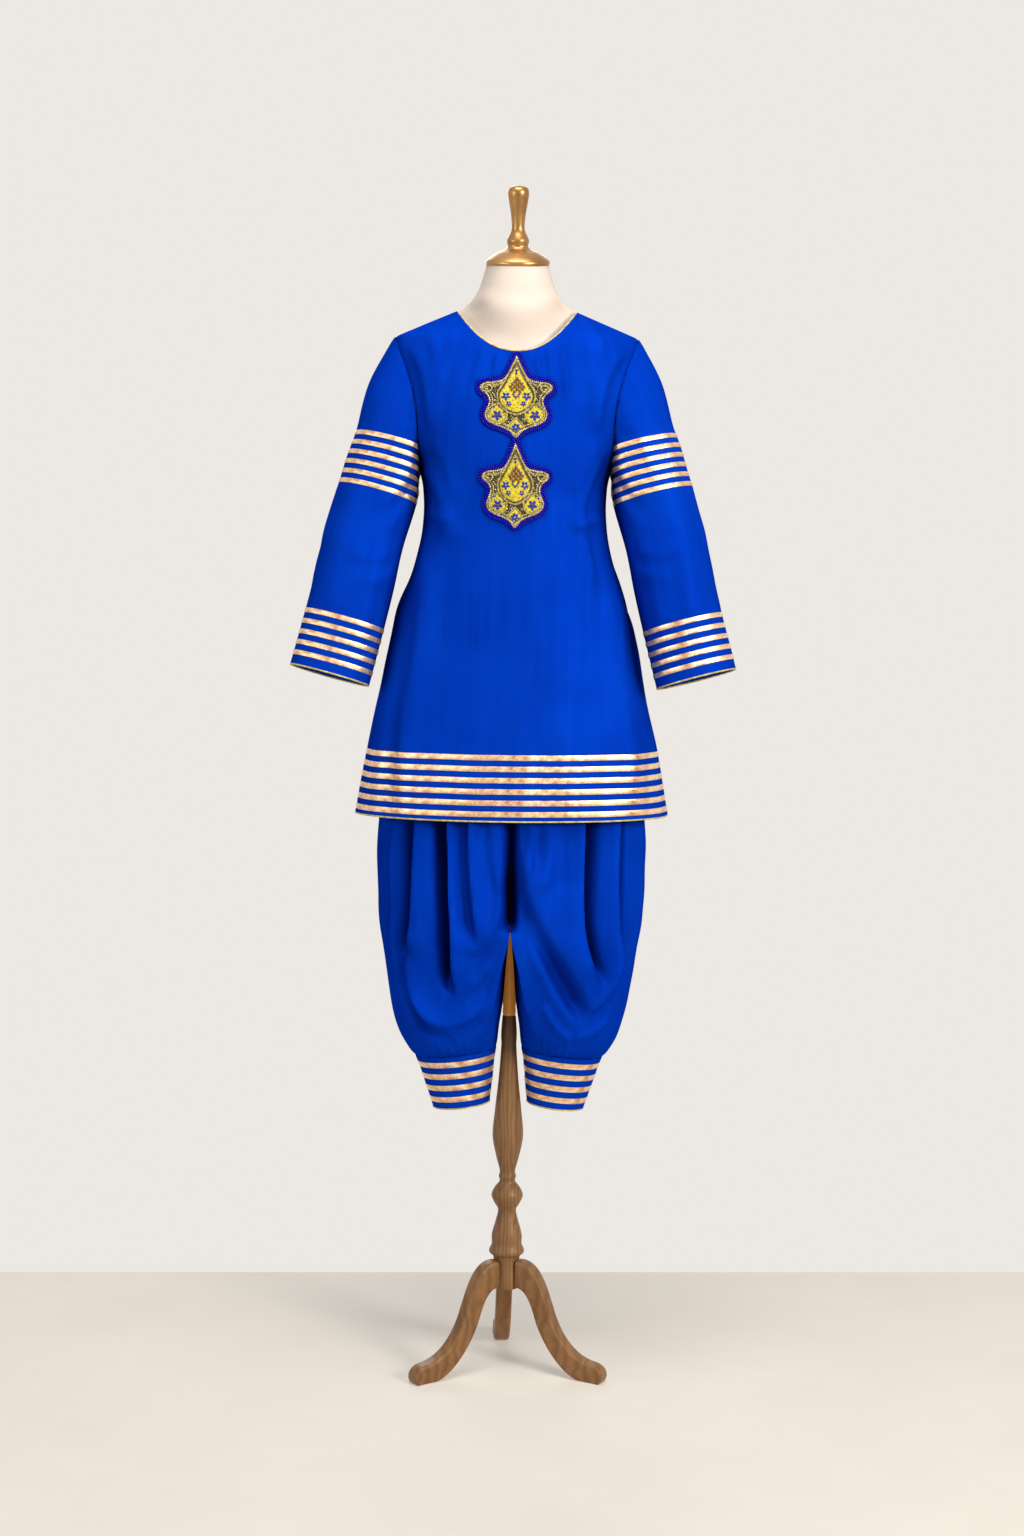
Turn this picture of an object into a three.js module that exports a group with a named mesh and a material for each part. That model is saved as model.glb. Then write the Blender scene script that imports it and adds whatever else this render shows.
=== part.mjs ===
// A child's kurta with dhoti trousers on a limbless dress form with a turned wooden stand.
// Millimetres, +Z up, front faces -Y, the wearer's left is +X. The floor is z = 0.
import * as THREE from 'three';

// ---- driving dimensions -------------------------------------------------------------
const CLOTH_WALL = 1.5;
const SEAM_GAP = 0.3;
const RIBBON_WALL = 1.0;
const PIPING_RADIUS = 1.2;
const PIPING_SIDES = 6;
const PATCH_WALL = 1.1;
const PATCH_LIFT = 0.7;
const HALF_SEAM = SEAM_GAP / 2;
const SEAM_REACH = 1.25 * HALF_SEAM;

// The object is moved back by this much so that its box is centred over the origin.
const CENTRE_SHIFT = -13;

const HALF_COLUMNS = 16;
const SHOULDER_TIP = { x: 147.8, z: 1271 };
const SHOULDER_NECK = { x: 72.9, z: 1303 };
const NECKLINE = { front: { z: 1250, power: 2.2 }, back: { z: 1290, power: 2 } };
const UNDERARM_Z = 1108;
const HEM_Z = 696;
const HEM_BAND_Z = 777;

// Half width and half depths of the kurta's body at each height.
const BODY = [
  { z: 696, width: 191.5, front: 108, back: 109 },
  { z: 777, width: 176.8, front: 103, back: 104 },
  { z: 848, width: 159.3, front: 97, back: 99 },
  { z: 907, width: 145.7, front: 93, back: 95 },
  { z: 951, width: 135.0, front: 90, back: 91 },
  { z: 1009, width: 118.0, front: 86, back: 86 },
  { z: 1040, width: 112.2, front: 84.5, back: 84 },
  { z: 1076, width: 110.6, front: 84, back: 83 },
  { z: 1108, width: 115.2, front: 83.5, back: 83 },
  { z: 1140, width: 133.0, front: 82.5, back: 85 },
  { z: 1161, width: 143.0, front: 81, back: 86 },
  { z: 1203, width: 151.0, front: 76.5, back: 83 },
  { z: 1248, width: 150.0, front: 64, back: 75 },
  { z: 1271, width: 147.8, front: 51, back: 66 },
  { z: 1290, width: 147.8, front: 36, back: 57 },
  { z: 1303, width: 147.8, front: 22, back: 46 },
];
const BODY_ROWS = [HEM_Z, HEM_BAND_Z, 848, 907, 951, 1009, 1056, UNDERARM_Z];

// The armhole edge, from the underarm to the shoulder tip.
const ARMHOLE = [
  { x: 115.2, z: UNDERARM_Z },
  { x: 116.0, z: 1122 },
  { x: 117.5, z: 1144 },
  { x: 118.0, z: 1165 },
  { x: 120.5, z: 1187 },
  { x: 125.0, z: 1208 },
  { x: 132.0, z: 1230 },
  { x: 140.5, z: 1252 },
  SHOULDER_TIP,
];

// Soft vertical folds in the skirt: where around the panel, how high at the hem, how wide.
const FOLDS = [
  { side: 'front', angle: 28, height: 3.5, spread: 13 },
  { side: 'front', angle: 56, height: 5.0, spread: 13 },
  { side: 'front', angle: 101, height: 2.0, spread: 14 },
  { side: 'front', angle: 124, height: 4.5, spread: 13 },
  { side: 'front', angle: 158, height: 3.0, spread: 13 },
  { side: 'back', angle: 34, height: 4.0, spread: 13 },
  { side: 'back', angle: 72, height: 5.0, spread: 14 },
  { side: 'back', angle: 107, height: 4.5, spread: 14 },
  { side: 'back', angle: 146, height: 4.0, spread: 13 },
];
const FOLD_TOP_Z = 1050;

// The sleeve hangs along an axis that leans out and forward.
const SLEEVE_OUT = THREE.MathUtils.degToRad(15);
const SLEEVE_FORWARD = THREE.MathUtils.degToRad(7.5);
const SLEEVE_ORIGIN = new THREE.Vector3(166, -14, 1080);
const SLEEVE_COLUMNS = 16;
const SLEEVE_SECTIONS = [
  { along: -72, shift: 0, width: 46.0, depth: 45 },
  { along: 3, shift: 0.5, width: 48.3, depth: 41 },
  { along: 55, shift: 1.5, width: 48.2, depth: 39 },
  { along: 105, shift: -0.5, width: 49.2, depth: 38 },
  { along: 150, shift: -2.3, width: 48.8, depth: 37 },
  { along: 224, shift: -3.1, width: 49.3, depth: 36 },
];
const SLEEVE_CAP = { bulge: 7, leastReach: 0.2, outerStart: 0.35 };
const UPPER_RIBBONS = { count: 6, first: -67.5, pitch: 12.1, height: 5.6 };
const CUFF_RIBBONS = { count: 5, first: 154.8, pitch: 13.1, height: 5.8 };
const HEM_RIBBONS = { count: 6, first: 774, pitch: 13.4, height: 6.4 };
const LEG_RIBBONS = { count: 4, first: 7, pitch: 14.8, height: 6.8 };

// The two embroidered patches: drop below the tip and half width there, before scaling.
const PATCH_OUTLINE = [
  { drop: 0, half: 0.8 },
  { drop: 9, half: 4 },
  { drop: 20, half: 9 },
  { drop: 29, half: 17 },
  { drop: 34, half: 38 },
  { drop: 40, half: 46.5 },
  { drop: 48, half: 44.5 },
  { drop: 56, half: 36 },
  { drop: 64, half: 37 },
  { drop: 73, half: 41 },
  { drop: 83, half: 37.5 },
  { drop: 90, half: 28 },
  { drop: 95, half: 15 },
  { drop: 100, half: 6 },
  { drop: 104, half: 0.8 },
];
const PATCHES = [
  { name: 'patch_upper', top: 1247.5, widthScale: 1.0, dropScale: 0.975 },
  { name: 'patch_lower', top: 1144.5, widthScale: 0.915, dropScale: 1.0 },
];
const PATCH_COLUMNS = 6;

// Trouser legs: outer and inner reach from the middle, half depth, how oval, pleat depth, tilt.
const LEG_COLUMNS = 32;
const LEG_INNER_COLUMNS = 8;
const CROTCH_Z = 562;
const PLEATS = { count: 4, rise: 1.6 };
const LEG = [
  { z: 958, outer: 100.2, inner: HALF_SEAM, depth: 67.2, oval: 0, pleat: 0, tilt: 0 },
  { z: 840, outer: 131, inner: HALF_SEAM, depth: 86, oval: 0, pleat: 3.5, tilt: 0 },
  { z: 735, outer: 157, inner: HALF_SEAM, depth: 93, oval: 0, pleat: 5.5, tilt: 0 },
  { z: 655, outer: 166, inner: HALF_SEAM, depth: 97, oval: 0, pleat: 7, tilt: 0 },
  { z: CROTCH_Z, outer: 162, inner: HALF_SEAM, depth: 98, oval: 0, pleat: 8, tilt: 0 },
  { z: 512, outer: 154.5, inner: 4, depth: 94, oval: 0.25, pleat: 7, tilt: 0 },
  { z: 463, outer: 145.5, inner: 7.5, depth: 86, oval: 0.5, pleat: 5, tilt: 0.03 },
  { z: 430, outer: 134.5, inner: 12, depth: 74, oval: 0.8, pleat: 2.5, tilt: 0.08 },
  { z: 410, outer: 122.5, inner: 14.5, depth: 58, oval: 1, pleat: 0, tilt: 0.115 },
  { z: 400, outer: 115, inner: 16, depth: 43, oval: 1, pleat: 0, tilt: 0.115 },
];
const LEG_CUFF = { topX: 65.5, topZ: 400, bottomX: 58, bottomZ: 334.5, topWidth: 49.5, bottomWidth: 35.5 };
const LEG_CUFF_DEPTH = { top: 43, bottom: 34 };
const LEG_CUFF_COLUMNS = 18;

// How much of an oval leg section the outer and the inner columns take up, in degrees.
const LEG_TURN = { outer: 260, inner: 100 };
const POLE_DENT = { reach: 11.8, slope: 0.45 };

// The dress form.
const WAIST = { low: 955, high: 990, width: 98, depth: 65 };
const WAISTBAND = { low: 958 + SEAM_GAP, high: 984, gap: 0.5 };
const TORSO = [
  { z: 640, width: 86, front: 60, back: 60 },
  { z: 700, width: 104, front: 72, back: 74 },
  { z: 780, width: 110, front: 77, back: 80 },
  { z: 860, width: 108, front: 75, back: 78 },
  { z: 915, width: 101, front: 69, back: 70 },
  { z: WAIST.low, width: WAIST.width, front: WAIST.depth, back: WAIST.depth },
  { z: WAIST.high, width: WAIST.width, front: WAIST.depth, back: WAIST.depth },
  { z: 1045, width: 100, front: 71, back: 70 },
  { z: 1095, width: 104, front: 77, back: 76 },
  { z: 1125, width: 112, front: 77, back: 78 },
  { z: 1160, width: 126, front: 75, back: 80 },
  { z: 1200, width: 136, front: 70.5, back: 77 },
  { z: 1235, width: 141, front: 62, back: 71 },
  { z: 1255, width: 140, front: 52, back: 63 },
];
const SHOULDER = { drop: 2.6, fullness: 0.75, slope: 0.32, start: 0.05, end: 0.83, steps: 4 };
const NECK = [
  { z: 1297.0, width: 58, depth: 50, tilt: 0 },
  { z: 1312.6, width: 53.7, depth: 47.5, tilt: 0.03 },
  { z: 1327, width: 46.9, depth: 44, tilt: 0.08 },
  { z: 1343.5, width: 41.9, depth: 40.5, tilt: 0.12 },
  { z: 1358, width: 37.6, depth: 37.6, tilt: 0.158 },
];
const NECK_TILT = Math.atan(0.158);
const NECK_ROOT_RADIUS = 50;
const NO_SLOPE = 1000;

const CAP_PROFILE = [
  { radius: 37.9, up: 0.3 },
  { radius: 38.6, up: 2.5 },
  { radius: 37.6, up: 6 },
  { radius: 26, up: 14 },
  { radius: 12.8, up: 21 },
  { radius: 13.5, up: 29 },
  { radius: 12, up: 33 },
  { radius: 8.1, up: 42 },
  { radius: 8.6, up: 56 },
  { radius: 11.8, up: 76 },
  { radius: 12.8, up: 86 },
  { radius: 10.5, up: 91 },
  { radius: 5, up: 93.2 },
];

// The stand.
const POLE = { radius: 8, bottom: 444, top: 640 };
const COLUMN_PROFILE = [
  { radius: 12, z: 100 },
  { radius: 16.5, z: 103 },
  { radius: 16.5, z: 141 },
  { radius: 21.5, z: 146 },
  { radius: 21.5, z: 150 },
  { radius: 18.7, z: 156 },
  { radius: 18.7, z: 168 },
  { radius: 14, z: 186 },
  { radius: 11.2, z: 200 },
  { radius: 15.5, z: 208 },
  { radius: 19.5, z: 218 },
  { radius: 15.5, z: 228 },
  { radius: 9.5, z: 236 },
  { radius: 10.7, z: 242 },
  { radius: 9.4, z: 248 },
  { radius: 14, z: 266 },
  { radius: 19, z: 293 },
  { radius: 16.4, z: 325 },
  { radius: 12.5, z: 362 },
  { radius: 9.3, z: 406.7 },
  { radius: 9.6, z: 415 },
  { radius: 9.6, z: 424 },
  { radius: 8.2, z: 443.7 },
];
const ROUND_SEGMENTS = 20;
const STAND_LEGS = { yaw: 3, width: 20, curveSegments: 6 };
const STAND_LEG_HEADINGS = { rear: 90, left: -30, right: 210 };

// A stand leg's side: from the top at the hub, one curve per row, and a flat foot at the end.
const STAND_LEG_START = [16.9, 138];
const STAND_LEG_TOP = [
  [42, 140, 52, 112, 62, 84],
  [72, 52, 92, 26, 122, 23],
  [136, 21, 140, 8, 132, 0],
];
const STAND_LEG_HEEL = [104, 0];
const STAND_LEG_UNDER = [
  [84, 4, 60, 30, 46, 62],
  [38, 86, 32, 103, 16.9, 104],
];

// A vertex normal is settled in this many turns, each one smaller than the last.
const SETTLING = { turns: 60, step: 0.5, delay: 3, leastFacing: 0.6 };

// ---- colours --------------------------------------------------------------------------
const MATERIALS = {
  blue: { color: 0x0b3fb4, roughness: 0.42, metalness: 0 },
  gold: { color: 0xe8c490, roughness: 0.3, metalness: 0.6 },
  piping: { color: 0xe6cf8a, roughness: 0.45, metalness: 0.3 },
  embroidery: { color: 0xd9b35c, roughness: 0.5, metalness: 0.4 },
  form: { color: 0xf5e9db, roughness: 0.7, metalness: 0 },
  cap: { color: 0xb0824c, roughness: 0.35, metalness: 0.7 },
  pole: { color: 0x9a6a2c, roughness: 0.4, metalness: 0.6 },
  wood: { color: 0x83603c, roughness: 0.5, metalness: 0 },
};

function material(name) {
  return new THREE.MeshStandardMaterial({ name, ...MATERIALS[name] });
}

// ---- small helpers --------------------------------------------------------------------
function point(x, y, z) {
  return new THREE.Vector3(x, y, z);
}

function mix(a, b, share) {
  return a.clone().lerp(b, share);
}

function lerp(a, b, share) {
  return a + (b - a) * share;
}

// A smooth curve through one named column of a table that is sorted by z.
function tableAt(table, name, z) {
  const last = table.length - 1;
  let i = 0;
  while (i < last - 1 && z > table[i + 1].z) i += 1;
  const low = table[i];
  const high = table[i + 1];
  const before = table[Math.max(i - 1, 0)];
  const after = table[Math.min(i + 2, last)];
  const span = high.z - low.z;
  const t = THREE.MathUtils.clamp((z - low.z) / span, 0, 1);
  const slopeLow = ((high[name] - before[name]) / (high.z - before.z)) * span;
  const slopeHigh = ((after[name] - low[name]) / (after.z - low.z)) * span;
  const t2 = t * t;
  const t3 = t2 * t;
  const start = (2 * t3 - 3 * t2 + 1) * low[name] + (t3 - 2 * t2 + t) * slopeLow;
  return start + (3 * t2 - 2 * t3) * high[name] + (t3 - t2) * slopeHigh;
}

function makeMesh(name, triangles, materialName) {
  const positions = [];
  const index = [];
  const seen = new Map();
  let volume = 0;
  for (const [a, b, c] of triangles) {
    volume += a.dot(b.clone().cross(c));
  }
  for (const triangle of triangles) {
    const ordered = volume > 0 ? triangle : [triangle[0], triangle[2], triangle[1]];
    for (const corner of ordered) {
      if (!seen.has(corner)) {
        seen.set(corner, seen.size);
        positions.push(corner.x, corner.y, corner.z);
      }
      index.push(seen.get(corner));
    }
  }
  const geometry = new THREE.BufferGeometry();
  geometry.setAttribute('position', new THREE.Float32BufferAttribute(positions, 3));
  geometry.setIndex(index);
  geometry.computeVertexNormals();
  const mesh = new THREE.Mesh(geometry, material(materialName));
  mesh.name = name;
  return mesh;
}

// ---- cloth surfaces ---------------------------------------------------------------------
// A sheet holds panels of four-cornered cells that share their vertices along the seams.
class Sheet {
  constructor() {
    this.vertices = new Map();
    this.panels = new Map();
  }

  vertex(position) {
    const key = position.toArray().map((value) => Math.round(value * 100)).join(' ');
    if (!this.vertices.has(key)) {
      const order = this.vertices.size;
      const vertex = { position, order, normal: null, reach: 1, faces: [], panels: new Set() };
      this.vertices.set(key, vertex);
    }
    return this.vertices.get(key);
  }

  addPanel(name, cells) {
    this.panels.set(name, cells);
    for (const cell of cells) {
      const [a, b, c, d] = cell.map((corner) => corner.position);
      const face = c.clone().sub(a).cross(d.clone().sub(b)).normalize();
      for (const corner of cell) {
        corner.faces.push(face);
        corner.panels.add(name);
      }
    }
  }

  // The normal at a vertex is turned until it faces every cell around it as well as it can.
  findNormals() {
    for (const vertex of this.vertices.values()) {
      if (vertex.faces.length === 0) continue;
      const normal = new THREE.Vector3();
      for (const face of vertex.faces) normal.add(face);
      normal.normalize();
      for (let turn = 0; turn < SETTLING.turns; turn += 1) {
        const worst = farthestFace(normal, vertex.faces);
        normal.addScaledVector(worst, SETTLING.step / (turn + SETTLING.delay)).normalize();
      }
      const least = normal.dot(farthestFace(normal, vertex.faces));
      vertex.normal = normal;
      vertex.reach = 1 / THREE.MathUtils.clamp(least, SETTLING.leastFacing, 1);
    }
  }
}

function farthestFace(normal, faces) {
  let worst = faces[0];
  for (const face of faces) {
    if (normal.dot(face) < normal.dot(worst)) worst = face;
  }
  return worst;
}

// Cuts a cell into two triangles along the diagonal that lies deeper, or higher, in the cloth.
function splitCell(cell, deeper) {
  const [a, b, c, d] = cell;
  const middleAC = mix(a.position, c.position, 0.5);
  const middleBD = mix(b.position, d.position, 0.5);
  const up = a.normal.clone().add(b.normal).add(c.normal).add(d.normal);
  const rise = middleAC.sub(middleBD).dot(up);
  const alongAC = deeper ? rise <= 0 : rise > 0;
  return alongAC ? [[a, b, c], [a, c, d]] : [[a, b, d], [b, c, d]];
}

function seamShift(corner, cells) {
  const centre = new THREE.Vector3();
  let count = 0;
  for (const cell of cells) {
    if (!cell.includes(corner)) continue;
    for (const other of cell) centre.add(other.position);
    count += cell.length;
  }
  const inward = centre.divideScalar(count).sub(corner.position);
  inward.addScaledVector(corner.normal, -inward.dot(corner.normal));
  return inward.setLength(SEAM_REACH);
}

// A closed wall over a set of cells. The two offsets are measured along the normals.
// Walls that meet at a seam cut their rims the same way, so the seam stays open all along.
function wallTriangles(cells, outerOffset, innerOffset, deeper) {
  const outer = new Map();
  const inner = new Map();
  const edges = new Map();
  const triangles = [];
  for (const cell of cells) {
    cell.forEach((corner, i) => {
      const next = cell[(i + 1) % cell.length];
      if (!edges.has(corner)) edges.set(corner, new Set());
      edges.get(corner).add(next);
      if (outer.has(corner)) return;
      const base = corner.position.clone();
      if (corner.panels && corner.panels.size > 1) base.add(seamShift(corner, cells));
      const reach = corner.reach ?? 1;
      outer.set(corner, base.clone().addScaledVector(corner.normal, outerOffset * reach));
      inner.set(corner, base.clone().addScaledVector(corner.normal, innerOffset * reach));
    });
    for (const [a, b, c] of splitCell(cell, deeper)) {
      triangles.push([outer.get(a), outer.get(b), outer.get(c)]);
      triangles.push([inner.get(a), inner.get(c), inner.get(b)]);
    }
  }
  for (const [from, targets] of edges) {
    for (const to of targets) {
      if (edges.get(to)?.has(from)) continue;
      const rim = [outer.get(to), outer.get(from), inner.get(from), inner.get(to)];
      const upward = from.order < to.order;
      triangles.push(upward ? [rim[0], rim[1], rim[3]] : [rim[0], rim[1], rim[2]]);
      triangles.push(upward ? [rim[1], rim[2], rim[3]] : [rim[0], rim[2], rim[3]]);
    }
  }
  return triangles;
}

function clothMesh(sheet, name, materialName = 'blue') {
  const cells = sheet.panels.get(name);
  return makeMesh(name, wallTriangles(cells, 0, -CLOTH_WALL, true), materialName);
}

// The place on a straight column line where a height function takes a value.
function crossing(line, heightOf, value) {
  const start = heightOf(line.from.position);
  const end = heightOf(line.to.position);
  const share = (value - start) / (end - start);
  if (share < 0 || share > 1) return null;
  const normal = mix(line.from.normal, line.to.normal, share).normalize();
  return { position: mix(line.from.position, line.to.position, share), normal };
}

// Flat ribbons sewn round a tube of cloth, one node each.
function ribbonMeshes(baseName, lines, heightOf, ribbons, direction) {
  const meshes = [];
  for (let k = 0; k < ribbons.count; k += 1) {
    const high = ribbons.first + direction * ribbons.pitch * k;
    const low = high + direction * ribbons.height;
    const pairs = lines.map((line) => {
      const top = crossing(line, heightOf, high);
      const bottom = crossing(line, heightOf, low);
      return top && bottom ? { top, bottom } : null;
    });
    const cells = [];
    pairs.forEach((pair, i) => {
      const next = pairs[(i + 1) % pairs.length];
      if (pair && next) cells.push([pair.top, pair.bottom, next.bottom, next.top]);
    });
    const triangles = wallTriangles(cells, SEAM_GAP + RIBBON_WALL, SEAM_GAP, false);
    meshes.push(makeMesh(`${baseName}_${k + 1}`, triangles, 'gold'));
  }
  return meshes;
}

// A round cord of cloth along an edge. Each station has its edge vertex and the way off the edge.
function pipingMesh(name, stations) {
  const rings = stations.map(({ vertex, off }) => {
    const { position, normal } = vertex;
    const centre = position.clone().addScaledVector(off, PIPING_RADIUS + SEAM_GAP);
    centre.addScaledVector(normal, -CLOTH_WALL / 2);
    return Array.from({ length: PIPING_SIDES }, (_, i) => {
      const turn = (2 * Math.PI * i) / PIPING_SIDES;
      const spot = centre.clone().addScaledVector(off, PIPING_RADIUS * Math.cos(turn));
      return spot.addScaledVector(normal, PIPING_RADIUS * Math.sin(turn));
    });
  });
  const triangles = [];
  rings.forEach((ring, i) => {
    const next = rings[(i + 1) % rings.length];
    for (let j = 0; j < PIPING_SIDES; j += 1) {
      const k = (j + 1) % PIPING_SIDES;
      triangles.push([ring[j], next[j], next[k]]);
      triangles.push([ring[j], next[k], ring[k]]);
    }
  });
  return makeMesh(name, triangles, 'piping');
}

// The way off an edge: away from the cloth inside it, square to the edge and the normal.
function wayOff(vertex, inside, tangent) {
  const off = vertex.position.clone().sub(inside);
  const along = tangent.clone().normalize();
  off.addScaledVector(along, -off.dot(along));
  off.addScaledVector(vertex.normal, -off.dot(vertex.normal));
  return off.normalize();
}

// ---- kurta ------------------------------------------------------------------------------
function bodyWidth(z) {
  if (z <= SHOULDER_TIP.z) return tableAt(BODY, 'width', z);
  const share = (z - SHOULDER_TIP.z) / (SHOULDER_NECK.z - SHOULDER_TIP.z);
  return lerp(SHOULDER_TIP.x, SHOULDER_NECK.x, share);
}

function bodyPoint(x, z, side) {
  const share = Math.min(Math.abs(x) / bodyWidth(z), 1);
  const depth = tableAt(BODY, side, z) * Math.sqrt(Math.max(1 - share * share, 0));
  return point(x, side === 'front' ? -depth : depth, z);
}

function foldHeight(side, angle, z) {
  const fade = THREE.MathUtils.clamp((FOLD_TOP_Z - z) / (FOLD_TOP_Z - HEM_Z), 0, 1);
  let height = 0;
  for (const fold of FOLDS) {
    if (fold.side !== side) continue;
    const away = (angle - fold.angle) / fold.spread;
    height += fold.height * Math.exp(-away * away);
  }
  return height * fade;
}

function skirtPoint(column, z, side) {
  const angle = (Math.PI * column) / HALF_COLUMNS;
  const spot = bodyPoint(bodyWidth(z) * Math.cos(angle), z, side);
  if (column === 0 || column === HALF_COLUMNS) return point(spot.x, 0, z);
  const fold = foldHeight(side, THREE.MathUtils.radToDeg(angle), z);
  const outward = point(Math.cos(angle), (side === 'front' ? -1 : 1) * Math.sin(angle), 0);
  return spot.addScaledVector(outward, fold);
}

function neckZ(x, side) {
  const { z, power } = NECKLINE[side];
  return z + (SHOULDER_NECK.z - z) * Math.abs(x / SHOULDER_NECK.x) ** power;
}

// The upper edge of a panel: shoulder seam, neckline, shoulder seam.
function topEdge(column, side) {
  const quarter = HALF_COLUMNS / 4;
  const near = Math.min(column, HALF_COLUMNS - column);
  const sign = column <= HALF_COLUMNS / 2 ? 1 : -1;
  if (near <= quarter) {
    const x = lerp(SHOULDER_TIP.x, SHOULDER_NECK.x, near / quarter);
    return { x: sign * x, z: lerp(SHOULDER_TIP.z, SHOULDER_NECK.z, near / quarter) };
  }
  const x = SHOULDER_NECK.x * Math.cos((Math.PI * (column - quarter)) / (2 * quarter));
  return { x, z: neckZ(x, side) };
}

function upperPoint(column, row, side) {
  const hole = ARMHOLE[row];
  const rise = (hole.z - UNDERARM_Z) / (SHOULDER_TIP.z - UNDERARM_Z);
  const top = topEdge(column, side);
  const quarter = HALF_COLUMNS / 4;
  const near = Math.min(column, HALF_COLUMNS - column);
  if (row === ARMHOLE.length - 1) {
    return near <= quarter ? point(top.x, 0, top.z) : bodyPoint(top.x, top.z, side);
  }
  const bottomX = ARMHOLE[0].x * Math.cos((Math.PI * column) / HALF_COLUMNS);
  const sign = column <= HALF_COLUMNS / 2 ? 1 : -1;
  const share = Math.max(0, 1 - near / quarter);
  const pull = hole.x - lerp(ARMHOLE[0].x, SHOULDER_TIP.x, rise);
  const x = lerp(bottomX, top.x, rise) + sign * share * pull;
  const z = lerp(UNDERARM_Z, top.z, rise);
  return bodyPoint(x, z, side);
}

function panelGrid(sheet, side) {
  const grid = BODY_ROWS.map((z) => {
    const row = [];
    for (let c = 0; c <= HALF_COLUMNS; c += 1) row.push(sheet.vertex(skirtPoint(c, z, side)));
    return row;
  });
  for (let r = 1; r < ARMHOLE.length; r += 1) {
    const row = [];
    for (let c = 0; c <= HALF_COLUMNS; c += 1) row.push(sheet.vertex(upperPoint(c, r, side)));
    grid.push(row);
  }
  return grid;
}

function gridCells(grid, outward) {
  const cells = [];
  for (let r = 0; r + 1 < grid.length; r += 1) {
    for (let c = 0; c + 1 < grid[r].length; c += 1) {
      const cell = [grid[r][c], grid[r][c + 1], grid[r + 1][c + 1], grid[r + 1][c]];
      cells.push(outward ? cell : cell.reverse());
    }
  }
  return cells;
}

// ---- sleeves ----------------------------------------------------------------------------
const SLEEVE_AXIS = point(
  Math.sin(SLEEVE_OUT) * Math.cos(SLEEVE_FORWARD),
  -Math.sin(SLEEVE_FORWARD),
  -Math.cos(SLEEVE_OUT) * Math.cos(SLEEVE_FORWARD),
);
const SLEEVE_SIDE = point(Math.cos(SLEEVE_OUT), 0, Math.sin(SLEEVE_OUT));
const SLEEVE_FRONT = SLEEVE_AXIS.clone().cross(SLEEVE_SIDE).normalize();

function alongSleeve(position) {
  return point(Math.abs(position.x), position.y, position.z).sub(SLEEVE_ORIGIN).dot(SLEEVE_AXIS);
}

function sleeveDirection(column) {
  const turn = (2 * Math.PI * column) / SLEEVE_COLUMNS;
  const across = SLEEVE_SIDE.clone().multiplyScalar(-Math.cos(turn));
  return across.addScaledVector(SLEEVE_FRONT, Math.sin(turn));
}

function sleevePoint(section, column) {
  const turn = (2 * Math.PI * column) / SLEEVE_COLUMNS;
  const centre = SLEEVE_ORIGIN.clone().addScaledVector(SLEEVE_AXIS, section.along);
  centre.addScaledVector(SLEEVE_SIDE, section.shift - section.width * Math.cos(turn));
  return centre.addScaledVector(SLEEVE_FRONT, section.depth * Math.sin(turn));
}

// The armhole loop of the wearer's left side: underarm, up the front, down the back.
function armholeLoop(frontGrid, backGrid) {
  const first = BODY_ROWS.length - 1;
  const tip = ARMHOLE.length - 1;
  const loop = [];
  for (let r = 0; r <= tip; r += 1) loop.push(frontGrid[first + r][0].position);
  for (let r = tip - 1; r > 0; r -= 1) loop.push(backGrid[first + r][0].position);
  return loop;
}

// Where a column leaves the cap: on the first section, or close to the armhole at the underarm.
function capEnd(start, column) {
  const [top, next] = SLEEVE_SECTIONS;
  const below = sleevePoint(next, column);
  const from = alongSleeve(start);
  const to = alongSleeve(below);
  const onLine = mix(start, below, Math.max((top.along - from) / (to - from), SLEEVE_CAP.leastReach));
  const turn = (2 * Math.PI * column) / SLEEVE_COLUMNS;
  const outer = THREE.MathUtils.clamp(SLEEVE_CAP.outerStart - Math.cos(turn), 0, 1);
  return mix(onLine, sleevePoint(top, column), outer);
}

function sleeveGrid(sheet, frontGrid, backGrid, sign) {
  const place = (spot) => sheet.vertex(point(sign * spot.x, spot.y, spot.z));
  const loop = armholeLoop(frontGrid, backGrid);
  const ends = loop.map((start, i) => capEnd(start, i));
  const cap = loop.map((start, i) => {
    const outer = Math.max(-Math.cos((2 * Math.PI * i) / SLEEVE_COLUMNS), 0);
    return mix(start, ends[i], 0.5).addScaledVector(sleeveDirection(i), SLEEVE_CAP.bulge * outer);
  });
  const rows = [loop, cap, ends];
  for (const section of SLEEVE_SECTIONS.slice(1)) {
    rows.push(loop.map((_, i) => sleevePoint(section, i)));
  }
  return rows.map((row) => {
    const ring = row.map(place);
    return [...ring, ring[0]];
  });
}

function linesBetween(upper, lower, closed) {
  const lines = upper.map((from, i) => ({ from, to: lower[i] }));
  return closed ? lines.slice(0, -1) : lines;
}

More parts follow.
